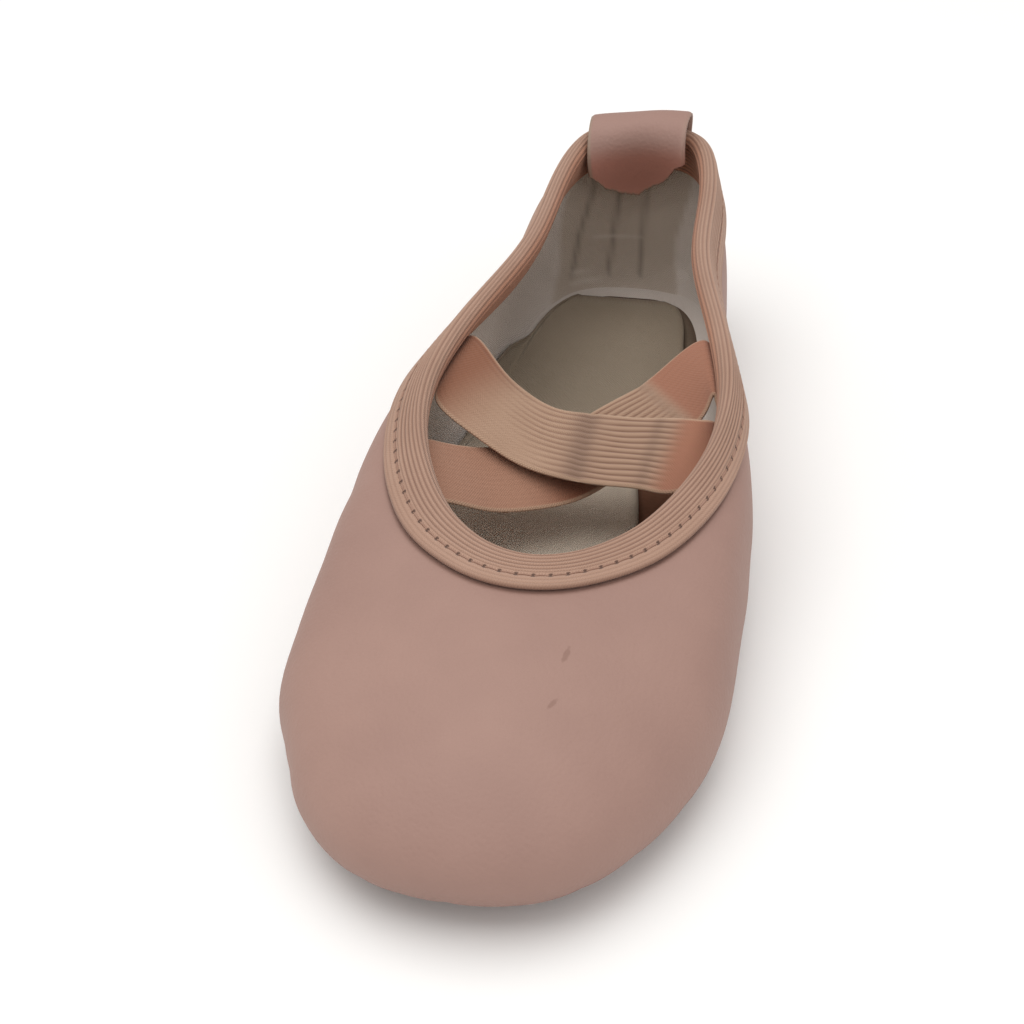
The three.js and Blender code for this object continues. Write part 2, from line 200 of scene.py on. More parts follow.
def floor_height(y):
    """The outsole's underside: flat under heel and forefoot, raised at the arch and at the toe."""
    share = 1 - (y - TOE_TIP) / LENGTH
    arch = np.clip((share - ARCH_FROM) / (ARCH_TO - ARCH_FROM), 0, 1)
    spring = np.clip((share - SPRING_FROM) / (1 - SPRING_FROM), 0, None)
    return ARCH_RISE * np.sin(np.pi * arch) ** 2 + TOE_SPRING * spring**2


def widest_point(rows):
    y = y_along(at["along"](rows))
    return np.stack([at["wide"](rows) * BALL_WIDTH / 2, y, floor_height(y) + at["belly"](rows)], -1)


def inward(rows):
    travel = widest_point(rows + 0.05) - widest_point(rows - 0.05)
    level = np.stack([travel[..., 1], -travel[..., 0], 0 * travel[..., 0]], -1)
    return level / np.linalg.norm(level, axis=-1, keepdims=True)


def inset_point(rows, inset, height=0.0):
    point = widest_point(rows) + inward(rows) * np.asarray(inset)[..., None]
    point[..., 2] = floor_height(point[..., 1]) + height
    return point


def collar_point(rows):
    high = INSTEP_HEIGHT + (HEEL_HEIGHT - INSTEP_HEIGHT) * at["topHigh"](rows)
    x = at["topWide"](rows) * BALL_WIDTH / 2 + COLLAR_SWAY
    return np.stack([x, y_along(at["topAlong"](rows)), high], -1)


for place_name, row in (("heel", 0.0), ("throat", float(TOE))):
    print("collar at the", place_name, np.round(collar_point(row), 1), "mm")

# %% [markdown]
# ## Walking over the leather
# Each line of the upper runs from the collar's edge over the side and in under the foot. Two Bezier
# curves make it, one for the wall and one for the curl. skin() then gives any point by three sizes
# that a maker can measure: the row round the slipper, the millimetres down from the collar's edge,
# and the millimetres off the surface.

# %% Lines of the upper
RISE_HANDLE, COLLAR_HANDLE, CURL_HANDLE = 0.7, 0.42, 0.56
WALL_POINTS, CURL_POINTS = 80, 40


def bezier(a, b, c, d, t):
    t = t[None, :, None]
    a, b, c, d = (p[:, None] for p in (a, b, c, d))
    return (1 - t) ** 3 * a + 3 * (1 - t) ** 2 * t * b + 3 * (1 - t) * t**2 * c + t**3 * d


def meridians(rows):
    """For each row the points of its line and the millimetres gone along it."""
    top, side = collar_point(rows), widest_point(rows)
    level = top - side
    level[:, 2] = 0
    reach = np.linalg.norm(level, axis=1)
    level /= reach[:, None]
    rise = top[:, 2] - side[:, 2]
    lean = np.radians(at["lean"](rows))
    up = np.array([0, 0, 1.0])
    climb = np.cos(lean)[:, None] * up + np.sin(lean)[:, None] * level
    span = np.hypot(reach, rise)
    below_top = top - climb * (COLLAR_HANDLE * span)[:, None]
    above_side = side + up * (RISE_HANDLE * rise)[:, None]
    wall = bezier(top, below_top, above_side, side, np.linspace(0, 1, WALL_POINTS + 1))
    tuck = at["tuck"](rows)
    tucked = inset_point(rows, tuck, SOLE_THICKNESS + GAP)
    drop = side[:, 2] - tucked[:, 2]
    below_side = side - up * (CURL_HANDLE * drop)[:, None]
    before_tuck = tucked - inward(rows) * (CURL_HANDLE * tuck)[:, None]
    curl = bezier(side, below_side, before_tuck, tucked, np.linspace(0, 1, CURL_POINTS + 1))
    edge = inset_point(rows, at["inset"](rows) + MARGIN, SOLE_THICKNESS + GAP)
    points = np.concatenate([wall, curl[:, 1:], edge[:, None]], 1)
    steps = np.linalg.norm(np.diff(points, axis=1), axis=2)
    gone = np.concatenate([np.zeros((len(rows), 1)), np.cumsum(steps, 1)], 1)
    return points, gone


def on_lines(rows, downs):
    """Points at the given millimetres down each row's line; rows is (n,), downs is (n, k)."""
    points, gone = meridians(rows)
    found = np.empty((*downs.shape, 3))
    for i, line in enumerate(gone):
        before = np.clip(np.searchsorted(line, downs[i]), 1, len(line) - 1)
        t = (downs[i] - line[before - 1]) / (line[before] - line[before - 1])
        found[i] = points[i, before - 1] + t[:, None] * (points[i, before] - points[i, before - 1])
    return found


def skin(rows, downs, outs):
    """Points of the upper's own surface, and off it by outs along its normal."""
    rows = np.atleast_1d(np.asarray(rows, float))
    downs = np.broadcast_to(downs, (len(rows), np.shape(downs)[-1]))
    across = on_lines(rows + 0.06, downs) - on_lines(rows - 0.06, downs)
    along = on_lines(rows, downs + 0.8) - on_lines(rows, downs - 0.8)
    normal = np.cross(across, along)
    normal /= np.linalg.norm(normal, axis=-1, keepdims=True)
    return on_lines(rows, downs) + normal * np.broadcast_to(outs, downs.shape)[..., None]


def line_lengths(rows):
    """Millimetres down each row's line to the widest line, to where it tucks under, and in all."""
    gone = meridians(rows)[1]
    return gone[:, WALL_POINTS], gone[:, WALL_POINTS + CURL_POINTS], gone[:, -1]


print("lines at heel, ball and toe:", [np.round(v, 1) for v in line_lengths(np.array([0.0, 7.0, 11.0]))])

# %% [markdown]
# ## Turning rings of points into meshes
# Nearly every piece of a slipper is a thin sheet that is folded, gathered or sewn, so nearly every
# mesh is a set of rings: each ring is the closed outline of the sheet's cut, and the rings follow
# each other along the piece. A layout map in millimetres goes with them, so that weave, ribs and
# stitch holes can be drawn in the cloth's own directions, and a mask for each vertex says where a
# mark is darker, or where shade is painted into a groove, a crease or along an edge.


# %% Rings to a mesh
def ring_mesh(name, rings, loop, layout, masks):
    """rings: (n, k, 3) in mm. layout: (n or n + 1, k + 1, 2) in mm. masks: name to (n, k) values, 0 to 1.
    Where the rings don't loop, each end is closed by a strip between the ring's two halves."""
    n, k = rings.shape[:2]
    joins = n if loop else n - 1
    i, j = np.meshgrid(np.arange(joins), np.arange(k), indexing="ij")
    corner_i = np.stack([i, i, i + 1, i + 1], -1)
    corner_j = np.stack([j, j + 1, j + 1, j], -1)
    quads = ((corner_i % n) * k + corner_j % k).reshape(-1, 4)
    maps = layout[corner_i, corner_j].reshape(-1, 2)
    mesh = bpy.data.meshes.new(name)
    faces = quads.tolist()
    if not loop:
        j = np.arange(k // 2 - 1)
        strip = np.stack([j, j + 1, k - 2 - j, k - 1 - j], -1)
        faces += [*strip[:, ::-1].tolist(), *(strip + (n - 1) * k).tolist()]
        end_maps = [layout[0, strip[:, ::-1]].reshape(-1, 2), layout[n - 1, strip].reshape(-1, 2)]
        maps = np.concatenate([maps, *end_maps])
    mesh.from_pydata((rings.reshape(-1, 3) * MM).tolist(), [], faces)
    uv = mesh.uv_layers.new(name="layout")
    uv.data.foreach_set("uv", maps.astype(np.float32).ravel())
    for mask_name, values in masks.items():
        attribute = mesh.attributes.new(mask_name, "FLOAT", "POINT")
        attribute.data.foreach_set("value", np.asarray(values, np.float32).reshape(-1))
    return finish_mesh(name, mesh)


def finish_mesh(name, mesh):
    """Faces out, smooth shading, and an object in the scene."""
    mesh.validate()
    mesh.update()
    co = np.empty(len(mesh.vertices) * 3)
    mesh.vertices.foreach_get("co", co)
    mesh.calc_loop_triangles()
    tri = np.empty(len(mesh.loop_triangles) * 3, int)
    mesh.loop_triangles.foreach_get("vertices", tri)
    a, b, c = (co.reshape(-1, 3)[tri.reshape(-1, 3)[:, m]] for m in range(3))
    if np.einsum("ij,ij->i", a, np.cross(b, c)).sum() < 0:
        mesh.flip_normals()
    mesh.polygons.foreach_set("use_smooth", np.ones(len(mesh.polygons), bool))
    piece = bpy.data.objects.new(name, mesh)
    scene.collection.objects.link(piece)
    print(name, len(mesh.loop_triangles), "triangles")
    return piece


def place(piece, slot, *nodes):
    """The piece rides with the slipper and stands for the named solids, which are hidden. slot is not used.
    """
    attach(piece, "root")
    if nodes:
        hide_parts(*nodes)
    return piece


def smooth_step(low, high, values):
    t = np.clip((values - low) / (high - low), 0, 1)
    return t * t * (3 - 2 * t)


def travelled(points):
    """Millimetres gone along a row of points."""
    steps = np.linalg.norm(np.diff(points, axis=0), axis=1)
    return np.concatenate([[0], np.cumsum(steps)])


def near_path(points, path):
    """Distance in mm from each point to a path of straight stretches."""
    nearest = np.full(points.shape[:-1], np.inf)
    for a, b in zip(path[:-1], path[1:]):
        d = b - a
        t = np.clip((points - a) @ d / (d @ d), 0, 1)
        nearest = np.minimum(nearest, np.linalg.norm(points - a - t[..., None] * d, axis=-1))
    return nearest


def unit(vectors):
    return vectors / np.linalg.norm(vectors, axis=-1, keepdims=True)


def stripe(centre, width, values):
    """A mask that is 1 where the values are at the centre and fades over the width."""
    return np.exp(-(((values - centre) / width) ** 2))


def both_faces(values):
    """Values over a sheet's upper face, repeated for its lower face, whose columns run backwards."""
    return np.concatenate([values, values[:, ::-1]], 1)


def with_plain_back(masks, back):
    """The masks of a sheet's face, with 0 all over its back."""
    plain = np.zeros(back.shape[:2])
    return {mask_name: np.concatenate([value, plain], 1) for mask_name, value in masks.items()}


print("helpers for rings, masks and paths are ready")

# %% [markdown]
# ## The leather upper
# The upper is one piece of soft leather, pulled over the toe and gathered on a thread under the sole.
# Sculpting the gathers by hand would be slow to change, so each pleat is a row of a small table of
# chance made from one seed: its place, its depth and how far up the side it starts. The broad dents
# and ridges of the vamp are listed as paths over the leather with a width and a height.

# %% Gathers and creases
PLEATS_FROM, PLEATS_TO = 7.4, 14.6
PLEAT_PITCH = 0.2
PLEAT_DEPTH = 0.95
pleat_chance = np.random.default_rng(4)
pleat_count = int((PLEATS_TO - PLEATS_FROM) / PLEAT_PITCH)
pleat_shifts = pleat_chance.uniform(-0.25, 0.25, pleat_count)
pleat_rows = PLEATS_FROM + PLEAT_PITCH * (np.arange(pleat_count) + pleat_shifts)
pleat_depths = PLEAT_DEPTH * pleat_chance.uniform(0.55, 1.15, pleat_count)
pleat_starts = pleat_chance.uniform(0.45, 0.7, pleat_count)

# Folds that reach up the side far enough to be seen from above. row, depth mm, width in rows, start:
# share of the way from the widest line down to the tuck.
LONG_FOLDS = [
    (10.97, 1.1, 0.055, 0.3),
    (13.3, 0.5, 0.12, 0.1),
    (12.75, 0.6, 0.1, 0.15),
    (11.9, 0.65, 0.1, 0.2),
    (11.45, 0.35, 0.08, 0.3),
    (10.3, 0.3, 0.1, 0.3),
    (9.6, 0.4, 0.1, 0.2),
    (9.0, 0.5, 0.11, 0.15),
    (8.35, 0.45, 0.12, 0.1),
    (7.7, 0.3, 0.12, 0.1),
]
HEEL_FOLD_ROWS = [-2.1, -1.55, -1.1, -0.7, -0.25, 0.3, 0.75, 1.15, 1.6, 2.15]
HEEL_FOLDS = [(row, 0.45, 0.14, 0.35) for row in HEEL_FOLD_ROWS]

# Soft forms of the empty leather. height: mm out, less than 0 for a trough. width: mm to where it
# fades. path: (row, down) points over the leather.
SOFT_FORMS = [
    (-1.2, 9.0, [(15.3, 37), (14.7, 43)]),
    (-1.0, 6.0, [(13.6, 54), (13.4, 56)]),
    (-1.0, 5.0, [(17.4, 24), (16.9, 28)]),
    (0.5, 9.0, [(5.0, 26), (6.0, 30)]),
    (-0.4, 11.0, [(13.6, 16), (13.0, 32), (12.4, 48)]),
    (-0.35, 11.0, [(9.0, 16), (8.6, 32), (8.4, 46)]),
    (0.3, 13.0, [(10.9, 24), (11.2, 46)]),
    (-0.2, 5.0, [(6.6, 14), (6.2, 22), (5.6, 30)]),
    (-0.3, 4.0, [(15.9, 14), (16.1, 22), (16.4, 30)]),
    (-0.35, 4.0, [(4.5, 12), (4.2, 20), (4.5, 27)]),
    (0.3, 4.0, [(4.1, 12), (3.8, 20), (4.0, 28)]),
    (0.3, 4.5, [(17.9, 12), (18.2, 20), (18.0, 28)]),
    (-0.3, 3.5, [(2.6, 12), (2.3, 20), (2.5, 27)]),
    (-0.3, 3.5, [(19.4, 12), (19.7, 20), (19.5, 27)]),
]


def fold_relief(folds, rows, share, fade_under):
    """Valleys down the side at the rows of the folds, in mm."""
    relief = np.zeros(share.shape)
    for valley, depth, width, start in folds:
        away = (rows - valley + TOE) % ROWS_ROUND - TOE
        dip = np.exp(-((np.abs(away) / width) ** 1.4))[:, None]
        relief -= depth * dip * smooth_step(start - 0.1, start + 0.45, share) * fade_under
    return relief


def gather_relief(rows, downs, belly_at, tuck_at, edge_at):
    """How far the gathers stand out, in mm: sharp valleys between round folds, deepest at the sole."""
    share = (downs - belly_at[:, None]) / (tuck_at - belly_at)[:, None]
    fade_under = 1 - 0.8 * smooth_step(edge_at[:, None] - 1.5, edge_at[:, None] + 1.5, downs)
    pleats = zip(pleat_rows, pleat_depths, [0.6 * PLEAT_PITCH] * pleat_count, pleat_starts)
    relief = fold_relief(pleats, rows, share, fade_under)
    relief += fold_relief(LONG_FOLDS, rows, share, fade_under)
    relief += fold_relief(HEEL_FOLDS, rows, share, fade_under)
    ends = smooth_step(PLEATS_FROM - 0.3, PLEATS_FROM + 0.6, rows)
    ends *= 1 - smooth_step(PLEATS_TO - 0.6, PLEATS_TO + 0.3, rows)
    return relief + 0.4 * ends[:, None] * smooth_step(0.55, 0.9, share) * fade_under


def form_relief(points):
    relief = np.zeros(points.shape[:-1])
    for height, width, path in SOFT_FORMS:
        rows, downs = np.array(path).T
        over = skin(rows, downs[:, None], 0.0)[:, 0]
        relief += height * np.exp(-((near_path(points, over) / width) ** 2))
    return relief


print(pleat_count, "gathers,", len(SOFT_FORMS), "soft forms")

# %% The leather's two faces
LEATHER = 0.75
ROWS_PER_STATION = 24
TOE_ROWS_PER_STATION = 40
FINE_FROM, FINE_TO = 7, 15
DEEPEST = -1.3
BACK_EVERY = 6


def spaced_rows():
    rows = []
    for station in range(ROWS_ROUND):
        fine = FINE_FROM <= station < FINE_TO
        steps = TOE_ROWS_PER_STATION if fine else ROWS_PER_STATION
        rows += [station + i / steps for i in range(steps)]
    return np.array(rows)


upper_rows = spaced_rows()
belly_at, tuck_at, line_end = line_lengths(upper_rows)
edge_at = tuck_at + at["inset"](upper_rows) - at["tuck"](upper_rows)


def down_stations(parts):
    """Millimetres down each row's line. parts: (from, to, steps), from and to as arrays over the rows."""
    columns = [a[:, None] + (b - a)[:, None] * (np.arange(steps) / steps) for a, b, steps in parts]
    return np.concatenate([*columns, parts[-1][1][:, None]], 1)


zero = np.zeros(len(upper_rows))
outer_downs = down_stations([
    (zero, zero + BAND_WIDTH - 1, 3),
    (zero + BAND_WIDTH - 1, zero + BAND_WIDTH + 2, 9),
    (zero + BAND_WIDTH + 2, belly_at, 28),
    (belly_at, tuck_at, 24),
    (tuck_at, edge_at + 1, 8),
    (edge_at + 1, line_end, 3),
])
base = skin(upper_rows, outer_downs, 0.0)
relief = form_relief(base) * smooth_step(BAND_WIDTH - 1, BAND_WIDTH + 7, outer_downs)
relief *= 1 - smooth_step(tuck_at[:, None] - 3, tuck_at[:, None], outer_downs)
relief += gather_relief(upper_rows, outer_downs, belly_at, tuck_at, edge_at)
relief = np.maximum(relief, DEEPEST)
every = slice(None, None, BACK_EVERY)
inner_downs = outer_downs[:, every][:, ::-1]
outside = skin(upper_rows, outer_downs, relief)
inside = skin(upper_rows, inner_downs, np.minimum(relief[:, every][:, ::-1], 0) * 0.4 - LEATHER)
rings = np.concatenate([outside, inside], 1)
print("leather in", len(upper_rows), "rings of", rings.shape[1], "points")


def layout_of(rings, lengthwise, closed):
    """Millimetres along the piece and round each ring, with the columns repeated where they close."""
    steps = np.linalg.norm(np.roll(rings, -1, 1) - rings, axis=2)
    round_ring = np.concatenate([np.zeros((len(rings), 1)), np.cumsum(steps, 1)], 1)
    if closed:
        round_ring = np.concatenate([round_ring, round_ring[:1]])
    return np.stack([np.broadcast_to(lengthwise[:, None], round_ring.shape), round_ring], -1)


def round_lengths(points):
    """Millimetres gone round a closed row of points, with the closing stretch at the end."""
    return travelled(np.concatenate([points, points[:1]]))


# %% Upper's mesh and masks
side_share = (outer_downs - belly_at[:, None]) / (tuck_at - belly_at)[:, None]
masks = {
    # painted shade in the valleys of the gathers, darker where they are deeper
    "crease": np.clip(-relief / PLEAT_DEPTH, 0, 1) * smooth_step(0.0, 0.3, side_share),
    # painted shade: darker from just above the widest line down to where the leather tucks under
    "low": smooth_step(-0.1, 0.65, side_share),
    # painted contact shadow: a thin dark line just below the binding's outer edge
    "rim": stripe(BAND_WIDTH + 0.35, 0.45, outer_downs),
}
upper_layout = layout_of(rings, round_lengths(widest_point(upper_rows)), True)
upper_leather = ring_mesh("upper_leather", rings, True, upper_layout, with_plain_back(masks, inside))
place(upper_leather, "upper_leather", "upper")

# %% [markdown]
# ## The lining
# Thin grey-white cotton is glued inside the leather. At the heel it has a stiffer strip with rows of
# stitches. It could be a second material on the leather's inside, but as its own sheet it keeps its
# own layout map and finish.

# %% Lining with its heel strip
lining_rows = np.arange(0, ROWS_ROUND, 1 / 16)
lining_belly, lining_tuck, lining_end = line_lengths(lining_rows)
start = np.zeros(len(lining_rows)) + 0.6
lining_downs = down_stations([
    (start, lining_belly, 34),
    (lining_belly, lining_tuck, 12),
    (lining_tuck, lining_end - 0.5, 4),
])
LINING_FOLDS = [
    (0.5, 3.0, [(18.9, 10), (19.2, 18), (19.0, 30)]),
    (-0.5, 4.0, [(18.2, 10), (18.4, 18), (18.2, 28)]),
    (0.45, 3.5, [(3.1, 10), (2.8, 18), (3.0, 30)]),
    (-0.5, 4.0, [(3.9, 10), (3.6, 18), (3.9, 28)]),
    (0.5, 2.6, [(20.3, 22), (20.6, 29), (20.9, 36)]),
    (0.5, 2.6, [(1.6, 22), (1.4, 29), (1.1, 36)]),
]
# Seams of the heel strip as (x, height) paths on the back wall in mm, then its rows of light tacking
HEEL_SEAMS = [
    [(-9.0, 38), (-10.6, 28.5), (-13.4, 19.2), (-15.0, 9)],
    [(-3.4, 36), (-4.3, 28), (-5.6, 18), (-6.8, 8)],
    [(2.4, 36), (2.0, 28), (1.4, 18), (0.9, 8)],
]
HEEL_TACKS = [[(-9.7, 17.9), (1.0, 17.5)], [(-14.6, 9.6), (-7.0, 8.6)], [(-14.8, 7.4), (-8.0, 6.8)]]
# The stiffer heel piece between its two edges: height, x at the -X side, x at the +X side, mm
HEEL_PIECE = np.array([
    [6, -18.4, 10.6],
    [12, -17.6, 9.6],
    [19, -17.2, 9.8],
    [26, -16.8, 11.6],
    [37, -14, 13.8],
])
print(len(LINING_FOLDS), "folds and", len(HEEL_SEAMS), "seams in the lining")

# %% Lining's folds and seams
lining_base = skin(lining_rows, lining_downs, -WALL)
lining_relief = np.zeros(lining_downs.shape)
for height, width, path in LINING_FOLDS:
    path_rows, path_downs = np.array(path).T
    over = skin(path_rows, path_downs[:, None], -WALL)[:, 0]
    lining_relief += height * np.exp(-((near_path(lining_base, over) / width) ** 2))
flat_heel = lining_base[..., [0, 2]]
at_heel = lining_base[..., 1] > y_along(0.16)


def heel_marks(paths, width):
    nearest = np.min([near_path(flat_heel, np.array(path, float)) for path in paths], axis=0)
    return stripe(0, width, nearest) * at_heel


seam, tack = heel_marks(HEEL_SEAMS, 0.6), heel_marks(HEEL_TACKS, 0.35)
piece_from = np.interp(flat_heel[..., 1], HEEL_PIECE[:, 0], HEEL_PIECE[:, 1])
piece_to = np.interp(flat_heel[..., 1], HEEL_PIECE[:, 0], HEEL_PIECE[:, 2])
heel_piece = smooth_step(-0.6, 0.6, flat_heel[..., 0] - piece_from) * at_heel
heel_piece *= smooth_step(-0.6, 0.6, piece_to - flat_heel[..., 0])
lining_relief = np.minimum(lining_relief, 0.4) + 0.3 * heel_piece - 0.15 * seam
# Towards the toe the walls are unlined leather, with painted shade and red reflected light
bare = smooth_step(y_along(0.45), y_along(0.49), lining_base[..., 1])
lining_face = skin(lining_rows, lining_downs, -WALL - lining_relief)
lining_back = skin(lining_rows, lining_downs[:, ::7][:, ::-1], -LEATHER - 0.2)
lining_rings = np.concatenate([lining_face, lining_back], 1)
lining_layout = layout_of(lining_rings, round_lengths(widest_point(lining_rows)), True)
lining_masks = {"seam": seam, "tack": tack, "heel_piece": heel_piece, "bare": bare}
lining_masks = with_plain_back(lining_masks, lining_back)
lining = place(ring_mesh("lining", lining_rings, True, lining_layout, lining_masks), "lining_cotton")

# %% [markdown]
# ## The collar binding
# Ribbed elastic is folded over the collar's edge and sewn through with one row of stitches. Its cut
# is a channel: an outer leg, a rounded crest and an inner leg. The ribs run lengthwise, so they
# belong in the ring's outline, where they cost nothing extra, and the stitches are small bent threads
# set into a groove.

# %% Binding
RIB_PITCH, RIB_HEIGHT = 1.0, 0.26
# The outer leg from its edge up: a margin with two faint cords, the line of stitches, then full ribs
MARGIN_WIDTH, MARGIN_RIB, RIBS_FROM = 2.3, 0.4, 3.75
STITCH_LINE = 3.05
STITCH_PITCH = 3.0
BAND_ROWS = 34
FACE_STEPS, CREST_STEPS, INNER_STEPS = 60, 18, 40
OVER_CREST = 5.0
INNER_EDGE = 2 * BAND_WIDTH + OVER_CREST
band_rows = np.arange(0, ROWS_ROUND, 1 / BAND_ROWS)
out_face = GAP + BAND
in_face = -(WALL + GAP + BAND)
print("binding's faces lie", out_face, "mm outside and", in_face, "mm inside the collar's line")


def ribs(across, pitch, height):
    """Thin rounded cords with wider grooves between them, and a mask of the grooves for painted shade."""
    wave = np.abs(np.sin(np.pi * across / pitch))
    return height * (wave**1.2 - 0.6), (1 - wave) ** 1.3


def band_cut():
    """The binding's cut: mm down, mm out, and mm across from the outer edge."""
    outer = np.linspace(BAND_WIDTH - 0.3, 0, FACE_STEPS)
    cut = [(BAND_WIDTH, GAP + 0.15, 0.0), (BAND_WIDTH + 0.18, GAP + 0.5, 0.0)]
    cut.append((BAND_WIDTH, out_face - 0.2, 0.1))
    cut += [(down, out_face, BAND_WIDTH - down) for down in outer]
    for share in np.linspace(0, 1, CREST_STEPS + 2)[1:-1]:
        rise = math.sin(math.pi * share) * (out_face - in_face) / 2
        out = out_face + share * (in_face - out_face)
        cut.append((-0.7 * rise, out, BAND_WIDTH + share * OVER_CREST))
    inner = np.linspace(0, BAND_WIDTH - 0.3, INNER_STEPS)
    cut += [(down, in_face, BAND_WIDTH + OVER_CREST + down) for down in inner]
    cut.append((BAND_WIDTH, in_face + 0.4, INNER_EDGE))
    cut.append((BAND_WIDTH - 0.3, in_face + BAND - 0.1, INNER_EDGE))
    channel = [(0.2, in_face + BAND), (-GAP, -(WALL + GAP)), (-GAP, GAP), (0.2, GAP)]
    return np.array(cut + [(down, out, INNER_EDGE) for down, out in channel])


# %% Ribs and stitch line over the cut
cut = band_cut()
across_band = cut[:, 2]
facing = (across_band > 0) & (across_band < INNER_EDGE)
rib_height, rib_groove = ribs(across_band - RIBS_FROM, RIB_PITCH, RIB_HEIGHT)
rib_share = np.select([across_band < MARGIN_WIDTH, across_band < RIBS_FROM], [MARGIN_RIB, 0.0], 1.0)
stitch_dip = stripe(STITCH_LINE, 0.5, across_band)
band_line = skin(band_rows, np.full((1, 1), BAND_WIDTH - STITCH_LINE), out_face)[:, 0]
band_gone = round_lengths(band_line)
stitch_count = round(band_gone[-1] / STITCH_PITCH)
stitch_step = band_gone[-1] / stitch_count
pucker = 0.5 - 0.5 * np.cos(2 * np.pi * band_gone[:-1] / stitch_step)
offsets = facing * rib_share * rib_height - stitch_dip * 0.25
band_offset = offsets[None] + 0.1 * pucker[:, None] * stripe(STITCH_LINE, 1.2, across_band)[None]
print(stitch_count, "stitches,", round(stitch_step, 2), "mm each")

# %% Binding's mesh
band_downs = np.broadcast_to(cut[:, 0], (len(band_rows), len(cut)))
band_flat = skin(band_rows, band_downs, np.broadcast_to(cut[:, 1], band_downs.shape))
# The ribs stand out square to the cut's own outline, so they follow the crest round
around = np.roll(band_flat, -1, 1) - np.roll(band_flat, 1, 1)
forward = np.roll(band_flat, -1, 0) - np.roll(band_flat, 1, 0)
square = np.cross(forward, around)
square /= np.linalg.norm(square, axis=-1, keepdims=True)
middle = FACE_STEPS // 2
outward = band_flat[0, middle] - skin(band_rows[:1], band_downs[:1], 0.0)[0, middle]
if outward @ square[0, middle] < 0:
    square = -square
band_rings = band_flat + square * band_offset[..., None]
band_layout = layout_of(band_rings, band_gone, True)
band_layout[..., 1] = np.append(across_band, across_band[0])
band_masks = {
    # painted shade in the grooves between the ribs
    "groove": rib_groove * rib_share * facing,
    # painted shade and orange reflected light over the binding's inner leg
    "inner": smooth_step(BAND_WIDTH + 2.5, BAND_WIDTH + 5.0, across_band),
    # painted shade: a thin dark line along the binding's outer edge
    "hem": stripe(0, 0.35, across_band),
}
for mask_name, value in band_masks.items():
    band_masks[mask_name] = np.broadcast_to(value, band_downs.shape)
binding = ring_mesh("collar_binding_elastic", band_rings, True, band_layout, band_masks)
place(binding, "binding_elastic", "collar_binding")


# %% [markdown]
# ## Stitches
# A stitch is a short thread that rises out of one hole and dips into the next. Each is a bent tube
# with a few sides, and the whole row is joined into one mesh, because hundreds of objects would be
# slow to handle.

# %% Rows of stitches
THREAD = 0.34
THREAD_SIDES, THREAD_STEPS = 6, 7
print("thread of", THREAD, "mm")


def stitch_row(name, middles, alongs, normals, length, rise):
    """One bent thread at each middle, lying along its direction and rising by rise off the surface."""
    places, quads = [], []
    turn = 2 * np.pi * np.arange(THREAD_SIDES) / THREAD_SIDES
    for middle, along, normal in zip(middles, alongs, normals):
        beside = np.cross(along, normal)
        base_index = len(places) * THREAD_SIDES
        for step in range(THREAD_STEPS):
            t = step / (THREAD_STEPS - 1)
            lift = rise * math.sin(math.pi * t) - THREAD * 0.6
            centre = middle + along * (t - 0.5) * length + normal * lift
            fat = THREAD / 2 * (0.75 + 0.25 * math.sin(math.pi * t))
            outline = np.cos(turn)[:, None] * normal + np.sin(turn)[:, None] * beside
            places.append(centre + fat * outline)
        for step in range(THREAD_STEPS - 1):
            a = base_index + step * THREAD_SIDES
            for side in range(THREAD_SIDES):
                after = (side + 1) % THREAD_SIDES
                quads.append((a + side, a + after, a + THREAD_SIDES + after, a + THREAD_SIDES + side))
        last = base_index + (THREAD_STEPS - 1) * THREAD_SIDES
        quads.append(tuple(base_index + side for side in range(THREAD_SIDES)))
        quads.append(tuple(last + side for side in range(THREAD_SIDES))[::-1])
    mesh = bpy.data.meshes.new(name)
    mesh.from_pydata((np.concatenate(places) * MM).tolist(), [], quads)
    return finish_mesh(name, mesh)


# %% The binding's stitches
stitch_at = (np.arange(stitch_count) + 0.5) * stitch_step
stitch_rows = np.interp(stitch_at, band_gone, np.append(band_rows, ROWS_ROUND))
stitch_down = np.full((1, 1), BAND_WIDTH - STITCH_LINE)
stitch_mid = skin(stitch_rows, stitch_down, out_face)[:, 0]
stitch_normal = unit(skin(stitch_rows, stitch_down, out_face + 1)[:, 0] - stitch_mid)
stitch_along = unit(skin(stitch_rows + 0.02, stitch_down, out_face)[:, 0] - stitch_mid)
binding_stitches = stitch_row(
    "binding_stitches", stitch_mid, stitch_along, stitch_normal, length=0.86 * stitch_step, rise=0.16
)
place(binding_stitches, "binding_elastic")

# %% [markdown]
# ## Straps
# Two ribbed elastic straps are sewn inside the collar and sag where they cross. Each runs through
# stations judged from where its edges lie in the photograph: the middle of the strap, and how far its
# rear edge is turned up. A cloth simulation would sag them too, but a narrow band with a known rest
# shape is quicker and steadier to place.

# %% Smooth bands
ACROSS = np.array([-1, -0.5, 0, 0.5, 1])
print("each station of a band has", len(ACROSS), "points across")


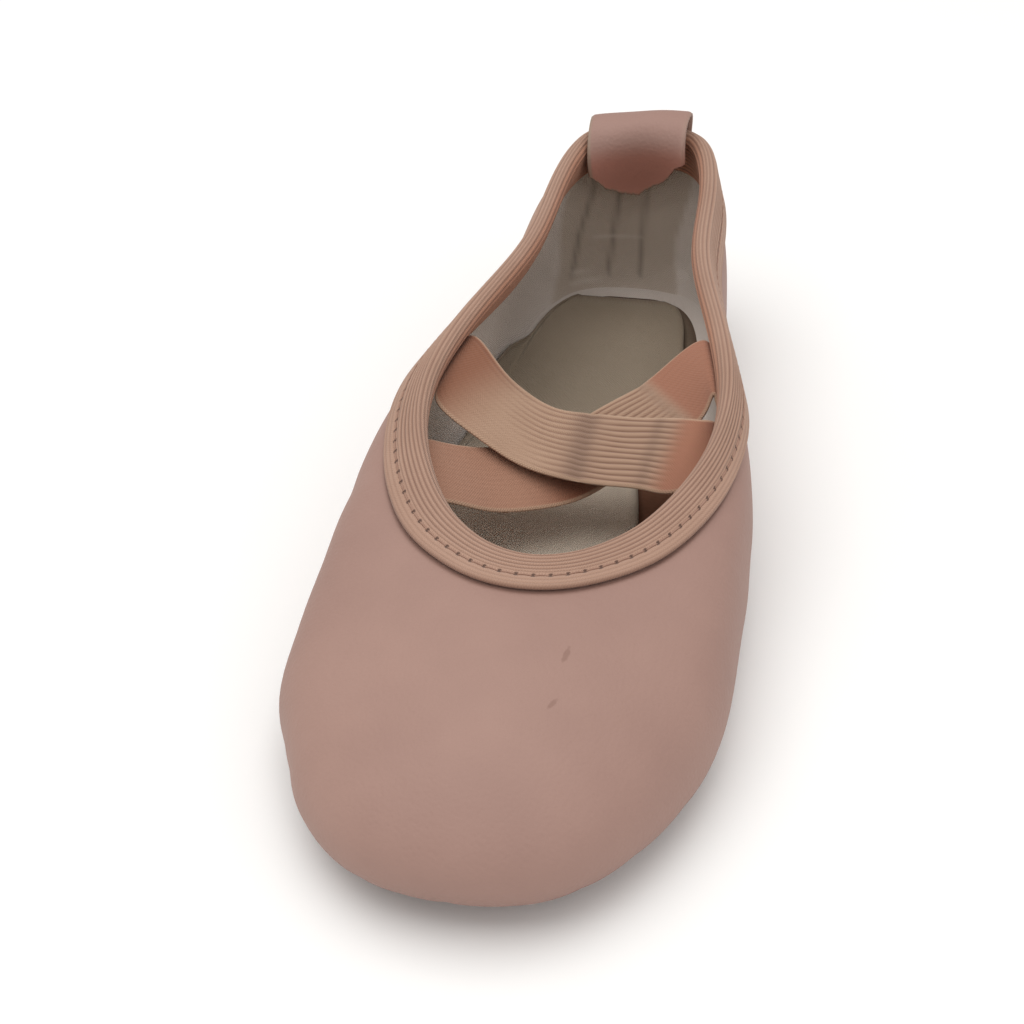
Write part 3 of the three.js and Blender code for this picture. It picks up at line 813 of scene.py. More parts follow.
def smooth_through(stations, shares):
    """Points at the shares (0 to 1) of a smooth curve through the stations, (n, ..., 3)."""
    middle = stations[:, stations.shape[1] // 2]
    knots = travelled(middle) / travelled(middle)[-1]
    n = len(knots)
    gaps = np.diff(knots)
    ties = np.eye(n)
    pull = np.zeros(stations.shape)
    for i in range(1, n - 1):
        ties[i, i - 1 : i + 2] = [gaps[i - 1], 2 * (gaps[i - 1] + gaps[i]), gaps[i]]
        after = (stations[i + 1] - stations[i]) / gaps[i]
        pull[i] = 6 * (after - (stations[i] - stations[i - 1]) / gaps[i - 1])
    bend = np.linalg.solve(ties, pull.reshape(n, -1)).reshape(stations.shape)
    i = np.clip(np.searchsorted(knots, shares, side="right") - 1, 0, n - 2)
    h = gaps[i][:, None, None]
    left = (knots[i + 1] - shares)[:, None, None]
    right = (shares - knots[i])[:, None, None]
    line = (bend[i] * left**3 + bend[i + 1] * right**3) / (6 * h)
    line += (stations[i] / h - bend[i] * h / 6) * left
    return line + (stations[i + 1] / h - bend[i + 1] * h / 6) * right


def across_weights(places):
    """How much each of the five points at ACROSS counts at the places, on the quartic through them."""
    weights = np.ones((len(ACROSS), len(places)))
    for i, own in enumerate(ACROSS):
        for other in np.delete(ACROSS, i):
            weights[i] *= (places - other) / (own - other)
    return weights


# %% Bands to meshes
# Places across the rounded edge of a band, as shares of half its width
FLAT_SHARE = 0.92
ROUNDED = [-1, -0.992, -0.97, -0.945]


def band_mesh(name, stations, width, thickness, steps, columns, face, ends=None, edge=0.35):
    """A flat band through the stations. face(across mm, along mm) gives its relief in mm and its masks.
    ends gives the mm along at which each place across is cut off."""
    flat = np.linspace(-FLAT_SHARE, FLAT_SHARE, columns)
    across = np.array([*ROUNDED, *flat, *[-share for share in ROUNDED[::-1]]])
    across_mm = across * width / 2
    dense = np.linspace(0, 1, 4 * steps + 1)
    rails = smooth_through(stations, dense)
    dense_gone = travelled(rails[:, 2])
    cloth = np.einsum("sra,rc->sca", rails, across_weights(across))
    cut_at = ends(across_mm) if ends else np.full(len(across), dense_gone[-1])
    gone = np.linspace(0, 1, steps + 1)[:, None] * cut_at
    surface = np.empty((steps + 1, len(across), 3))
    for column in range(len(across)):
        for axis in range(3):
            surface[:, column, axis] = np.interp(gone[:, column], dense_gone, cloth[:, column, axis])
    normal = unit(np.cross(np.gradient(surface, axis=1), np.gradient(surface, axis=0)))
    past_flat = np.clip((np.abs(across) - FLAT_SHARE) / (1 - FLAT_SHARE), 0, 1)
    half_thick = np.maximum(np.sqrt(1 - past_flat**2), edge) * thickness / 2
    relief, masks = face(across_mm[None], gone)
    up = surface + normal * (half_thick[None] + relief)[..., None]
    down = surface - normal * (half_thick[None] + relief)[..., None]
    rings = np.concatenate([up, down[:, ::-1]], 1)
    layout = layout_of(rings, gone[:, 0], False)
    layout[..., 1] = np.concatenate([across_mm, across_mm[::-1], across_mm[:1]])
    for mask_name, value in masks.items():
        masks[mask_name] = both_faces(np.broadcast_to(value, surface.shape[:2]))
    return ring_mesh(name, rings, False, layout, masks)


print("bands are", len(ROUNDED), "columns rounded at each edge")

# %% Where the two straps run
SEAM_ALLOWANCE = 0.6
STRAP_SEAM_OUT = -(WALL + GAP + BAND + SEAM_ALLOWANCE + STRAP_THICKNESS / 2)
SEAM_DEEP, SEAM_SHALLOW = 9.0, 2.5
MID_SHIFT = TOE_TIP + LENGTH / 2
# x, y, z: the middle of the strap, mm from the middle of the last. tilt: how far its rear edge is
# turned up.
STRAP_OVER = {
    "first_row": 17.3,
    "last_row": 5.85,
    "sag": [
        [-20.9, 10.6, 32.1, 6],
        [-13.9, 5.8, 28.5, 7],
        [-5, 2.8, 25.2, 12],
        [3, 0.3, 25.6, 20],
        [12.6, -3, 27.6, 23],
        [20.1, -5.1, 29.4, 26],
        [25.4, -6.2, 30.3, 26],
    ],
}
STRAP_UNDER = {
    "first_row": 15.3,
    "last_row": 4.5,
    "sag": [
        [-18.9, -12.2, 25.4, 17],
        [-13.4, -8.8, 22.2, 18],
        [-6.1, -4.5, 20.4, 17],
        [1.2, -0.4, 20.7, 19],
        [8, 3.6, 23.8, 18],
        [15, 7.8, 27.4, 10],
        [21.7, 13.6, 31, 4],
    ],
}


# %% Stations of a strap
def sewn_station(row, down):
    """A station that lies flat on the inside of the binding, sewn down there."""
    near = skin([row + 0.5, row - 0.5], np.full((1, 1), down), STRAP_SEAM_OUT)[:, 0]
    mm_per_row = np.linalg.norm(near[0] - near[1])
    rows = row + ACROSS * STRAP_WIDTH / 2 / mm_per_row
    return skin(rows, np.full((1, 1), down), STRAP_SEAM_OUT)[:, 0]


def sag_stations(sag):
    sag = np.array(sag, float)
    run = np.empty((len(sag), 2))
    run[1:-1] = sag[2:, :2] - sag[:-2, :2]
    run[0], run[-1] = sag[1, :2] - sag[0, :2], sag[-1, :2] - sag[-2, :2]
    run /= np.linalg.norm(run, axis=1, keepdims=True)
    tilt = np.radians(sag[:, 3])
    rear = np.stack([-run[:, 1] * np.cos(tilt), run[:, 0] * np.cos(tilt), np.sin(tilt)], -1)
    middle = sag[:, :3] + [0, MID_SHIFT, 0]
    return middle[:, None] + rear[:, None] * (ACROSS * STRAP_WIDTH / 2)[None, :, None]


def strap_stations(strap):
    first = [sewn_station(strap["first_row"], down) for down in (SEAM_DEEP, SEAM_SHALLOW)]
    last = [sewn_station(strap["last_row"], down)[::-1] for down in (SEAM_SHALLOW, SEAM_DEEP)]
    return np.array([*first, *sag_stations(strap["sag"]), *last])


print("straps run through", len(STRAP_OVER["sag"]), "and", len(STRAP_UNDER["sag"]), "stations")

# %% [markdown]
# ### Ribs that come and go
# A slack elastic shows its cords, a stretched or ironed one is smooth. So the strength of the ribs
# changes along each strap: they rise out of the smooth end, stand highest where the straps cross, and
# end before the sewn seam. An array of straight cords would be simpler to model, but it could not
# fade out, and here each vertex only moves by a fraction of a millimetre.

# %% Strap faces
STRAP_RIB_PITCH, STRAP_RIB = 1.26, 0.24
STRAP_STEPS, STRAP_COLUMNS = 210, 89
SELVEDGE = 0.7
print("straps have a rib every", STRAP_RIB_PITCH, "mm")


def strap_ribs(across, along, strength):
    """Relief of slightly wavy ribs and a mask of their grooves for painted shade, with the plain selvedge
    at both sides.
    """
    wavy = across + 0.1 * np.sin(along / 2.7 + across * 0.8)
    height, groove = ribs(wavy + STRAP_RIB_PITCH / 2, STRAP_RIB_PITCH, STRAP_RIB)
    inside = 1 - smooth_step(STRAP_WIDTH / 2 - SELVEDGE - 0.2, STRAP_WIDTH / 2 - SELVEDGE, np.abs(across))
    return height * strength * inside, groove * strength * inside


def selvedge_mask(across):
    return smooth_step(STRAP_WIDTH / 2 - SELVEDGE, STRAP_WIDTH / 2 - 0.3, np.abs(across))


def over_face(across, along):
    front = smooth_step(2.0, -6.0, across)
    grown = smooth_step(18 + 10 * front, 33 + 8 * front, along)
    rear_cords = 0.7 * smooth_step(5.0, 6.6, across) * smooth_step(4, 10, along)
    strength = np.maximum(np.maximum(grown, rear_cords), 0.14) * (1 - smooth_step(58, 63, along))
    relief, groove = strap_ribs(across, along, strength)
    crease = stripe(41.8 - 0.28 * across, 1.3, along)
    # painted shade: a band along the crease and a fainter band further on
    shade = stripe(41.0 - 0.28 * across, 2.8, along) + 0.6 * stripe(56 - 0.1 * across, 1.4, along)
    broad = smooth_step(42, 48, along) * (1 - smooth_step(57, 61, along))
    masks = {
        "groove": groove * (0.7 + 0.3 * broad),
        "fold": np.clip(shade, 0, 1),
        # darker at the sewn end: partly the strap's own deeper colour, partly painted shade under the
        # collar
        "dusk": 1 - smooth_step(10, 24, along),
        "blush": smooth_step(57, 62, along),
        "selvedge": selvedge_mask(across),
    }
    return relief - 0.3 * crease, masks


def under_face(across, along):
    strength = 0.12 + 0.88 * smooth_step(40, 46, along) * (1 - smooth_step(57, 61, along))
    relief, groove = strap_ribs(across, along, strength)
    pucker = stripe(59.5, 1.2, along) * np.sin(across * 2.1)
    masks = {
        "groove": groove * 0.85,
        # painted shade beside the puckers
        "fold": 0.5 * stripe(60, 1.5, along),
        # painted shadow of the over strap, which crosses above here
        "dusk": stripe(38, 6.0, along),
        "blush": smooth_step(60, 63, along) + 0.7 * (1 - smooth_step(36, 44, along)),
        "selvedge": selvedge_mask(across),
    }
    return relief + 0.12 * pucker, masks


# %% The two straps
STRAP_SHEET = STRAP_THICKNESS - 0.2


def strap_mesh(name, strap, face):
    stations = strap_stations(strap)
    return band_mesh(name, stations, STRAP_WIDTH, STRAP_SHEET, STRAP_STEPS, STRAP_COLUMNS, face)


strap_over = strap_mesh("strap_over_elastic", STRAP_OVER, over_face)
strap_under = strap_mesh("strap_under_elastic", STRAP_UNDER, under_face)
place(strap_over, "strap_elastic", "strap_over")
place(strap_under, "strap_elastic", "strap_under")

# %% [markdown]
# ## The heel tab
# The tab is a strip of the same leather, sewn outside the heel, folded over the binding and sewn down
# inside, where its end was cut by hand. It runs through stations as the straps do. The crooked cut
# could be trimmed with a Boolean, but each column of the band can just as well stop at its own
# length, and the edge stays clean.

# %% Heel tab
TAB_ASIDE, TAB_TURN = 1.3, 6.0
# down, out: place on the last's surface, mm. half: half the width. bow: how far its edges bend
# forward.
TAB_FOLD = [
    [14, 2.8, 11.5, 1.4],
    [7, 2.8, 11.5, 1.4],
    [1, 2.8, 11.5, 1.4],
    [-2.6, 2.4, 11.5, 1.4],
    [-4.1, -0.6, 11.3, 1.4],
    [-3.3, -4.4, 11.1, 2.2],
    [-0.5, -6.2, 11, 3.2],
    [3.5, -6, 11, 4.3],
    [8, -5.2, 10.6, 4.6],
    [12, -4.7, 10.4, 5.0],
    [15.5, -4.4, 10.2, 5.4],
]
# Where the inner end was cut: mm across from the middle, mm along from the outer end
TAB_CUT = np.array([
    [-11.5, 34.5],
    [-10, 36.5],
    [-8.5, 39.4],
    [-4, 42.2],
    [0, 43.2],
    [3, 41.0],
    [7, 38.6],
    [9.3, 33.5],
    [11.5, 31.5],
])
CUT_NICK = 0.25
TAB_STEPS, TAB_COLUMNS = 110, 73
print("tab's inner end is cut", TAB_CUT[:, 1].min(), "to", TAB_CUT[:, 1].max(), "mm along")


def tab_stations():
    hinge = collar_point(0.0)
    turn = math.radians(TAB_TURN)
    stations = []
    for down, out, half_width, bow in TAB_FOLD:
        middle = skin([0.0], np.full((1, 1), down), out)[0, 0]
        points = middle + np.stack([ACROSS * half_width, -bow * ACROSS**2, 0 * ACROSS], -1)
        x, y, z = (points - hinge).T
        turned_x = x * math.cos(turn) - z * math.sin(turn)
        turned_z = x * math.sin(turn) + z * math.cos(turn)
        stations.append(np.stack([turned_x, y, turned_z], -1) + hinge - [TAB_ASIDE, 0, 0])
    return np.array(stations)


def tab_ends(across):
    """A cut in short straight snips: the along of the cut at each place across."""
    nicks = CUT_NICK * np.sin(across * 4.1) * np.sin(across * 1.7 + 1)
    return np.interp(across, TAB_CUT[:, 0], TAB_CUT[:, 1]) + nicks


def tab_face(across, along):
    cut_at = tab_ends(across)
    wrinkle = 0.12 * np.sin(along / 3.1 + 0.4 * across) * stripe(22, 7, along)
    from_side = TAB_WIDTH / 2 - np.abs(across)
    raw = 1 - smooth_step(0.25, 0.75, np.minimum(from_side, cut_at - along))
    raw = raw * (1 - 0.75 * smooth_step(7, 9, across))
    # painted red reflected light over the inner leg; the raw edges keep their own colour
    return wrinkle, {"raw": raw, "inside": smooth_step(26, 32, along)}


# %% Tab's mesh
heel_tab = band_mesh(
    "heel_tab_leather", tab_stations(), TAB_WIDTH, TAB_THICKNESS - 0.1, TAB_STEPS, TAB_COLUMNS,
    tab_face, tab_ends, edge=0.5,
)
place(heel_tab, "upper_leather", "heel_tab")

# %% [markdown]
# ## Soles
# The outsole is a thin suede patch, and the insole is a board that lies over the leather turned in
# under the foot. Each could be an outline filled and thickened, but both are plates whose edge keeps
# an inset from the last's widest line and whose faces follow the sole's curve, so one function makes
# them from rings that run across the foot, from the heel to the toe.


# %% Plates under the foot
PLATE_RINGS, PLATE_STEPS = 160, 26
print("plates have", PLATE_RINGS, "rings from heel to toe")


def plate(name, inset_of, low, high, edge_round, masks_of):
    """A plate with a rounded edge between two heights over the sole's curve, as rings across it."""
    rows = TOE * (0.5 - 0.5 * np.cos(np.linspace(0.02, 1, PLATE_RINGS) * np.pi * 0.985 + 0.01))
    right, left = (inset_point(side, inset_of(side)) for side in (rows, ROWS_ROUND - rows))
    across = np.sin(np.linspace(-1, 1, 2 * PLATE_STEPS + 1) * np.pi / 2)
    share = (1 - across)[None, :, None] / 2
    flat = right[:, None] * share + left[:, None] * (1 - share)
    half_width = np.linalg.norm(right - left, axis=1)[:, None] / 2
    from_side = half_width * (1 - np.abs(across))[None]
    along = travelled(flat[:, PLATE_STEPS])
    from_end = np.minimum(along, along[-1] - along)[:, None]
    from_edge = np.minimum(from_side, from_end + 0 * from_side)
    curve = np.sqrt(np.clip(1 - np.clip(1 - from_edge / edge_round, 0, 1) ** 2, 0, 1))
    middle_height = (low + high) / 2
    top, bottom = flat.copy(), flat.copy()
    ground = floor_height(flat[..., 1])
    top[..., 2] = ground + middle_height + (high - middle_height) * curve
    bottom[..., 2] = ground + middle_height - (middle_height - low) * curve
    rings = np.concatenate([top, bottom[:, ::-1]], 1)
    layout = rings[..., :2]
    layout = np.concatenate([layout, layout[:, :1]], 1)
    masks = {mask_name: both_faces(value) for mask_name, value in masks_of(flat, from_edge).items()}
    return ring_mesh(name, rings, False, layout, masks)


# %% Outsole
OUTSOLE_STITCH = 2.4
# Where the foot's weight wears the suede: share of the length from the heel, x and size in mm
WORN_SPOTS = [(0.7, 6, 15), (0.72, -8, 17), (0.11, 0, 11), (0.86, 0, 9)]


def outsole_masks(flat, from_edge):
    worn = np.zeros(flat.shape[:2])
    for share, x, size in WORN_SPOTS:
        spot = np.hypot(flat[..., 0] - x, (flat[..., 1] - y_along(share)) * 0.8) / size
        worn = np.maximum(worn, stripe(0, 1, spot))
    return {"worn": worn, "groove": stripe(OUTSOLE_STITCH, 0.45, from_edge)}


outsole = plate("outsole_suede", at["inset"], 0.0, SOLE_THICKNESS, 0.9, outsole_masks)
place(outsole, "outsole_suede", "outsole")

# %% Insole board
SHELF = SOLE_THICKNESS + 2 * GAP + WALL
SOCK_SHEET = 0.5
BOARD_TOP = SHELF + INSOLE_THICKNESS - SOCK_SHEET


def board_inset(rows):
    return at["tuck"](rows) + SOCK_INSET


def board_masks(flat, from_edge):
    front = smooth_step(y_along(0.3), y_along(0.42), flat[..., 1])
    # painted shade along the board's edge
    return {"rim": 1 - smooth_step(0.3, 2.0, from_edge), "front": front}


insole_board = plate("insole_board", board_inset, SHELF, BOARD_TOP, 0.8, board_masks)
place(insole_board, "insole_cotton", "insole")

# %% [markdown]
# ## The cotton sock
# A thin cotton sock is glued over the board. It was laid in a little crooked: on one side a strip of
# the board shows, and on the other the sock climbs the wall. A flat sheet could be shrunk onto the
# board, but it would not climb the wall by itself. So it is laid here as it was there, line by line
# across the shoe, from its edge over the board and up the curl of the wall.

# %% Sock over the board
# Stations from the heel, then mm of board that shows at the +X side, then mm up the wall at the -X
# side, or mm of board that shows there where it is less than 0
SOCK_EDGES = np.array([
    [1.0, 3.5, 0.6],
    [1.25, 2.2, 1.4],
    [1.5, 2.5, 2.0],
    [2.1, 3.5, 3.5],
    [2.6, 3.5, 8.5],
    [3.0, 5.5, 10.5],
    [3.6, 9.0, 7.0],
    [4.3, 12.0, 1.5],
    [5.0, 12.8, -0.5],
    [6.0, 10.0, -2.0],
    [8.0, 8.0, -4.0],
    [9.5, 4.0, -4.0],
])
SOCK_RINGS, SOCK_STEPS, WALL_STEPS = 150, 44, 22
SOCK_BEND = 0.5
print("sock's edges are given at", len(SOCK_EDGES), "stations")


def sock_line(row):
    """One line across the sock, from its edge at the +X side to its edge at the -X side, mm."""
    right_strip = np.interp(row, SOCK_EDGES[:, 0], SOCK_EDGES[:, 1])
    climb = np.interp(row, SOCK_EDGES[:, 0], SOCK_EDGES[:, 2])
    other = ROWS_ROUND - row
    sides = np.array([row, other])
    right, left = inset_point(sides, board_inset(sides))
    width = np.linalg.norm(right - left)
    reach = np.linspace(right_strip / width, 1 + min(climb, 0) / width, SOCK_STEPS)
    flat = right + reach[:, None] * (left - right)
    tucked = line_lengths(np.array([other]))[1]
    climbed = np.linspace(0, max(climb, 0.0), WALL_STEPS + 1)[1:]
    wall = skin([other], (tucked[:, None] - climbed[None]), -WALL - SOCK_SHEET)[0]
    if climb <= 0:
        wall = flat[-1] + np.outer(climbed + np.arange(WALL_STEPS) * 0.01, (left - right) / width)
    line = np.concatenate([flat, wall])
    board = floor_height(line[:, 1]) + BOARD_TOP
    above_board = np.zeros(len(line))
    if climb > 0:
        above_board[SOCK_STEPS:] = line[SOCK_STEPS:, 2] - board[SOCK_STEPS:]
    # A soft bend lifts whatever lies lower than the board onto it
    line[:, 2] = board + SOCK_BEND * np.logaddexp(0, (above_board - 0.2) / SOCK_BEND) + 0.05
    return line


# %% Sock's mesh
sock_rows = np.linspace(SOCK_EDGES[0, 0], SOCK_EDGES[-1, 0], SOCK_RINGS)
sock_under = np.array([sock_line(row) for row in sock_rows])
sock_normal = unit(np.cross(np.gradient(sock_under, axis=1), np.gradient(sock_under, axis=0)))
sock_normal *= np.sign(sock_normal[SOCK_RINGS // 2, SOCK_STEPS // 2, 2])
sock_across = np.array([travelled(line) for line in sock_under])
sock_along = travelled(sock_under[:, SOCK_STEPS // 2])
from_side = np.minimum(sock_across, sock_across[:, -1:] - sock_across)
from_end = np.minimum(sock_along, sock_along[-1] - sock_along)[:, None]
from_rim = np.minimum(from_side, from_end)
sock_x, sock_y = sock_under[..., 0], sock_under[..., 1]
swelling = 0.3 * np.sin(sock_x / 6.0 + sock_y / 11.0) * np.sin(sock_y / 13.0 + 1.0)
sock_lift = swelling * smooth_step(1, 6, from_rim) + 0.3
sock_lift += 0.25 * (1 - smooth_step(0.0, 1.6, from_rim))
sock_top = sock_under + sock_normal * (sock_lift + SOCK_SHEET * 0.8)[..., None]
sock_bottom = sock_under + sock_normal * (sock_lift - 0.2)[..., None]
sock_rings = np.concatenate([sock_top, sock_bottom[:, ::-1]], 1)
sock_layout = layout_of(sock_rings, sock_along, False)
sock_share = 1 - (sock_y - TOE_TIP) / LENGTH
sock_masks = {
    # painted shade along the sock's edge, where it meets the board and the wall
    "edge": both_faces(1 - smooth_step(0.2, 1.4, from_rim)),
    "pad": both_faces(1 - smooth_step(0.34, 0.44, sock_share)),
}
insole_sock = place(ring_mesh("insole_sock", sock_rings, False, sock_layout, sock_masks), "insole_cotton")

# %% [markdown]
# ## Finishes
# Leather, suede, elastic and cotton differ in colour, grain and sheen. Images of real cloth could be
# laid on them, but patterns worked out by nodes stay sharp at any distance. Effects that several
# finishes share are node groups: broad mottling, fine grain, the weave of a cloth along its layout
# map, needle holes and scuffs.


# %% Node helpers
def add_node(tree, kind, **settings):
    node = tree.nodes.new(kind)
    for key, value in settings.items():
        if key == "ins":
            for socket, number in value.items():
                node.inputs[socket].default_value = number
        else:
            setattr(node, key, value)
    return node


def join(tree, from_node, from_socket, to_node, to_socket):
    tree.links.new(from_node.outputs[from_socket], to_node.inputs[to_socket])


def new_group(name, inputs, outputs):
    group = bpy.data.node_groups.new(name, "ShaderNodeTree")
    for socket, number in inputs.items():
        made = group.interface.new_socket(name=socket, in_out="INPUT", socket_type="NodeSocketFloat")
        made.default_value = number
    for socket in outputs:
        group.interface.new_socket(name=socket, in_out="OUTPUT", socket_type="NodeSocketFloat")
    return group, group.nodes.new("NodeGroupInput"), group.nodes.new("NodeGroupOutput")


# %% Mottling and grain
mottle, mottle_in, mottle_out = new_group("mottle", {"Scale": 30.0}, ["Mask"])
spot = add_node(mottle, "ShaderNodeTexCoord")
cloud = add_node(mottle, "ShaderNodeTexNoise", ins={"Detail": 4.0, "Roughness": 0.55})
spread = add_node(mottle, "ShaderNodeMapRange", ins={"From Min": 0.3, "From Max": 0.7})
join(mottle, spot, "Object", cloud, "Vector")
join(mottle, mottle_in, "Scale", cloud, "Scale")
join(mottle, cloud, "Fac", spread, "Value")
join(mottle, spread, "Result", mottle_out, "Mask")

grain, grain_in, grain_out = new_group("grain", {"Scale": 1500.0}, ["Height"])
spot = add_node(grain, "ShaderNodeTexCoord")
pebble = add_node(grain, "ShaderNodeTexVoronoi", feature="SMOOTH_F1", ins={"Smoothness": 0.6})
fuzz = add_node(grain, "ShaderNodeTexNoise", ins={"Detail": 3.0})
both = add_node(grain, "ShaderNodeMath", operation="ADD")
join(grain, spot, "Object", pebble, "Vector")
join(grain, spot, "Object", fuzz, "Vector")
join(grain, grain_in, "Scale", pebble, "Scale")
join(grain, grain_in, "Scale", fuzz, "Scale")
join(grain, pebble, "Distance", both, 0)
join(grain, fuzz, "Fac", both, 1)
join(grain, both, 0, grain_out, "Height")
print("groups:", mottle.name, grain.name)

# %% Weave along the layout map
weave, weave_in, weave_out = new_group("weave", {"Threads": 1.6}, ["Height"])
sheet_map = add_node(weave, "ShaderNodeUVMap", uv_map="layout")
parts = add_node(weave, "ShaderNodeSeparateXYZ")
join(weave, sheet_map, "UV", parts, "Vector")
crossing = add_node(weave, "ShaderNodeMath", operation="MULTIPLY")
for index, axis in enumerate("XY"):
    scaled = add_node(weave, "ShaderNodeMath", operation="MULTIPLY")
    angle = add_node(weave, "ShaderNodeMath", operation="MULTIPLY", ins={1: 2 * math.pi})
    wave = add_node(weave, "ShaderNodeMath", operation="SINE")
    join(weave, parts, axis, scaled, 0)
    join(weave, weave_in, "Threads", scaled, 1)
    join(weave, scaled, 0, angle, 0)
    join(weave, angle, 0, wave, 0)
    join(weave, wave, 0, crossing, index)
join(weave, crossing, 0, weave_out, "Height")
print("weave runs along the layout map, in mm")


# %% Needle holes
def length_of(tree, first, second):
    """The length of a flat vector from two math nodes."""
    flat = add_node(tree, "ShaderNodeCombineXYZ")
    join(tree, first, 0, flat, 0)
    join(tree, second, 0, flat, 1)
    size = add_node(tree, "ShaderNodeVectorMath", operation="LENGTH")
    join(tree, flat, 0, size, 0)
    return size


def faded(tree, size, socket, edge_from, edge_to):
    """1 where the size is inside edge_from, falling to 0 at edge_to."""
    fade = add_node(tree, "ShaderNodeMapRange", interpolation_type="SMOOTHSTEP")
    limits = {"From Min": edge_from, "From Max": edge_to, "To Min": 1.0, "To Max": 0.0}
    for limit, number in limits.items():
        fade.inputs[limit].default_value = number
    join(tree, size, socket, fade, "Value")
    return fade


holes, holes_in, holes_out = new_group("needle_holes", {"Pitch": 3.0, "Line": 3.0}, ["Mask"])
sheet_map = add_node(holes, "ShaderNodeUVMap", uv_map="layout")
parts = add_node(holes, "ShaderNodeSeparateXYZ")
join(holes, sheet_map, "UV", parts, "Vector")
beside = add_node(holes, "ShaderNodeMath", operation="PINGPONG")
half_pitch = add_node(holes, "ShaderNodeMath", operation="MULTIPLY", ins={1: 0.5})
join(holes, holes_in, "Pitch", half_pitch, 0)
join(holes, parts, "X", beside, 0)
join(holes, half_pitch, 0, beside, 1)
off_line = add_node(holes, "ShaderNodeMath", operation="SUBTRACT")
join(holes, parts, "Y", off_line, 0)
join(holes, holes_in, "Line", off_line, 1)
round_hole = faded(holes, length_of(holes, beside, off_line), "Value", 0.34, 0.62)
join(holes, round_hole, "Result", holes_out, "Mask")

print("needle holes are spaced by their Pitch along the layout map")

# %% Scuffs
# A scuff is a short streak in the slipper's own millimetres, seen from above, with a broken edge
scuff_sizes = {"X": 0.0, "Y": 0.0, "Turn": 0.0, "Long": 10.0, "Wide": 1.0}
scuff, scuff_in, scuff_out = new_group("scuff", scuff_sizes, ["Mask"])
spot = add_node(scuff, "ShaderNodeTexCoord")
in_mm = add_node(scuff, "ShaderNodeVectorMath", operation="SCALE", ins={"Scale": 1 / MM})
join(scuff, spot, "Object", in_mm, 0)
centre = add_node(scuff, "ShaderNodeCombineXYZ")
away = add_node(scuff, "ShaderNodeVectorMath", operation="SUBTRACT")
join(scuff, scuff_in, "X", centre, "X")
join(scuff, scuff_in, "Y", centre, "Y")
join(scuff, in_mm, 0, away, 0)
join(scuff, centre, 0, away, 1)
turned = add_node(scuff, "ShaderNodeVectorRotate", rotation_type="Z_AXIS")
join(scuff, away, 0, turned, "Vector")
join(scuff, scuff_in, "Turn", turned, "Angle")
parts = add_node(scuff, "ShaderNodeSeparateXYZ")
join(scuff, turned, 0, parts, 0)
shares = []
for axis, size in (("X", "Long"), ("Y", "Wide")):
    share = add_node(scuff, "ShaderNodeMath", operation="DIVIDE")
    join(scuff, parts, axis, share, 0)
    join(scuff, scuff_in, size, share, 1)
    shares.append(share)
streak = length_of(scuff, *shares)
breaks = add_node(scuff, "ShaderNodeTexNoise", ins={"Scale": 900.0, "Detail": 3.0})
join(scuff, spot, "Object", breaks, "Vector")
broken = add_node(scuff, "ShaderNodeMath", operation="ADD")
join(scuff, streak, "Value", broken, 0)
join(scuff, breaks, "Fac", broken, 1)
soft_edge = faded(scuff, broken, 0, 0.85, 1.25)
join(scuff, soft_edge, "Result", scuff_out, "Mask")
print("groups:", holes.name, scuff.name)


# %% A finish from its parts
def group_node(tree, group, **numbers):
    node = add_node(tree, "ShaderNodeGroup", node_tree=group)
    for socket, number in numbers.items():
        node.inputs[socket].default_value = number
    return node


def finish(name, colours, mottle_scale, masks, heights, roughness, sheen=0.0, specular=0.35):
    """colours: base and mottled. masks: (attribute, or group with its numbers, then colour and strength).
    heights: (group, numbers, distance mm)."""
    material = bpy.data.materials.new(name)
    material.use_nodes = True
    tree = material.node_tree
    shader = tree.nodes["Principled BSDF"]
    shader.inputs["Roughness"].default_value = roughness
    shader.inputs["Sheen Weight"].default_value = sheen
    shader.inputs["Sheen Roughness"].default_value = 0.5
    shader.inputs["Specular IOR Level"].default_value = specular
    patches = group_node(tree, mottle, Scale=mottle_scale)
    colour = add_node(tree, "ShaderNodeMix", data_type="RGBA")
    colour.inputs["A"].default_value = (*colours[0], 1)
    colour.inputs["B"].default_value = (*colours[1], 1)
    join(tree, patches, "Mask", colour, "Factor")
    for source, tint, strength in masks:
        if isinstance(source, str):
            mask, socket = add_node(tree, "ShaderNodeAttribute", attribute_name=source), "Fac"
        else:
            mask, socket = group_node(tree, source[0], **source[1]), "Mask"
        amount = add_node(tree, "ShaderNodeMath", operation="MULTIPLY", ins={1: strength})
        stain = add_node(tree, "ShaderNodeMix", data_type="RGBA")
        stain.inputs["B"].default_value = (*tint, 1)
        join(tree, mask, socket, amount, 0)
        join(tree, amount, 0, stain, "Factor")
        tree.links.new(colour.outputs["Result"], stain.inputs["A"])
        colour = stain
    tree.links.new(colour.outputs["Result"], shader.inputs["Base Color"])
    before = None
    for group, numbers, distance in heights:
        bump = add_node(tree, "ShaderNodeBump", ins={"Distance": distance * MM})
        height = group_node(tree, group, **numbers)
        join(tree, height, "Height", bump, "Height")
        if before:
            join(tree, before, "Normal", bump, "Normal")
        before = bump
    if before:
        join(tree, before, "Normal", shader, "Normal")
    return material


def srgb(*levels):
    """A colour named by its 0 to 255 screen levels, as linear values."""
    return tuple(((v / 255 + 0.055) / 1.055) ** 2.4 if v > 10 else v / 255 / 12.92 for v in levels)


# %% Leather finishes
# x, y, turn in degrees, half length and half width of each scuff, mm
VAMP_SCUFFS = [(12.9, -63.5, 84, 3.2, 0.8), (12.6, -73.5, 62, 1.8, 0.7)]
SOLE_SCUFFS = [(6, -44, 70, 15, 9), (-9, -50, 100, 13, 8), (2, 74, 80, 12, 8)]


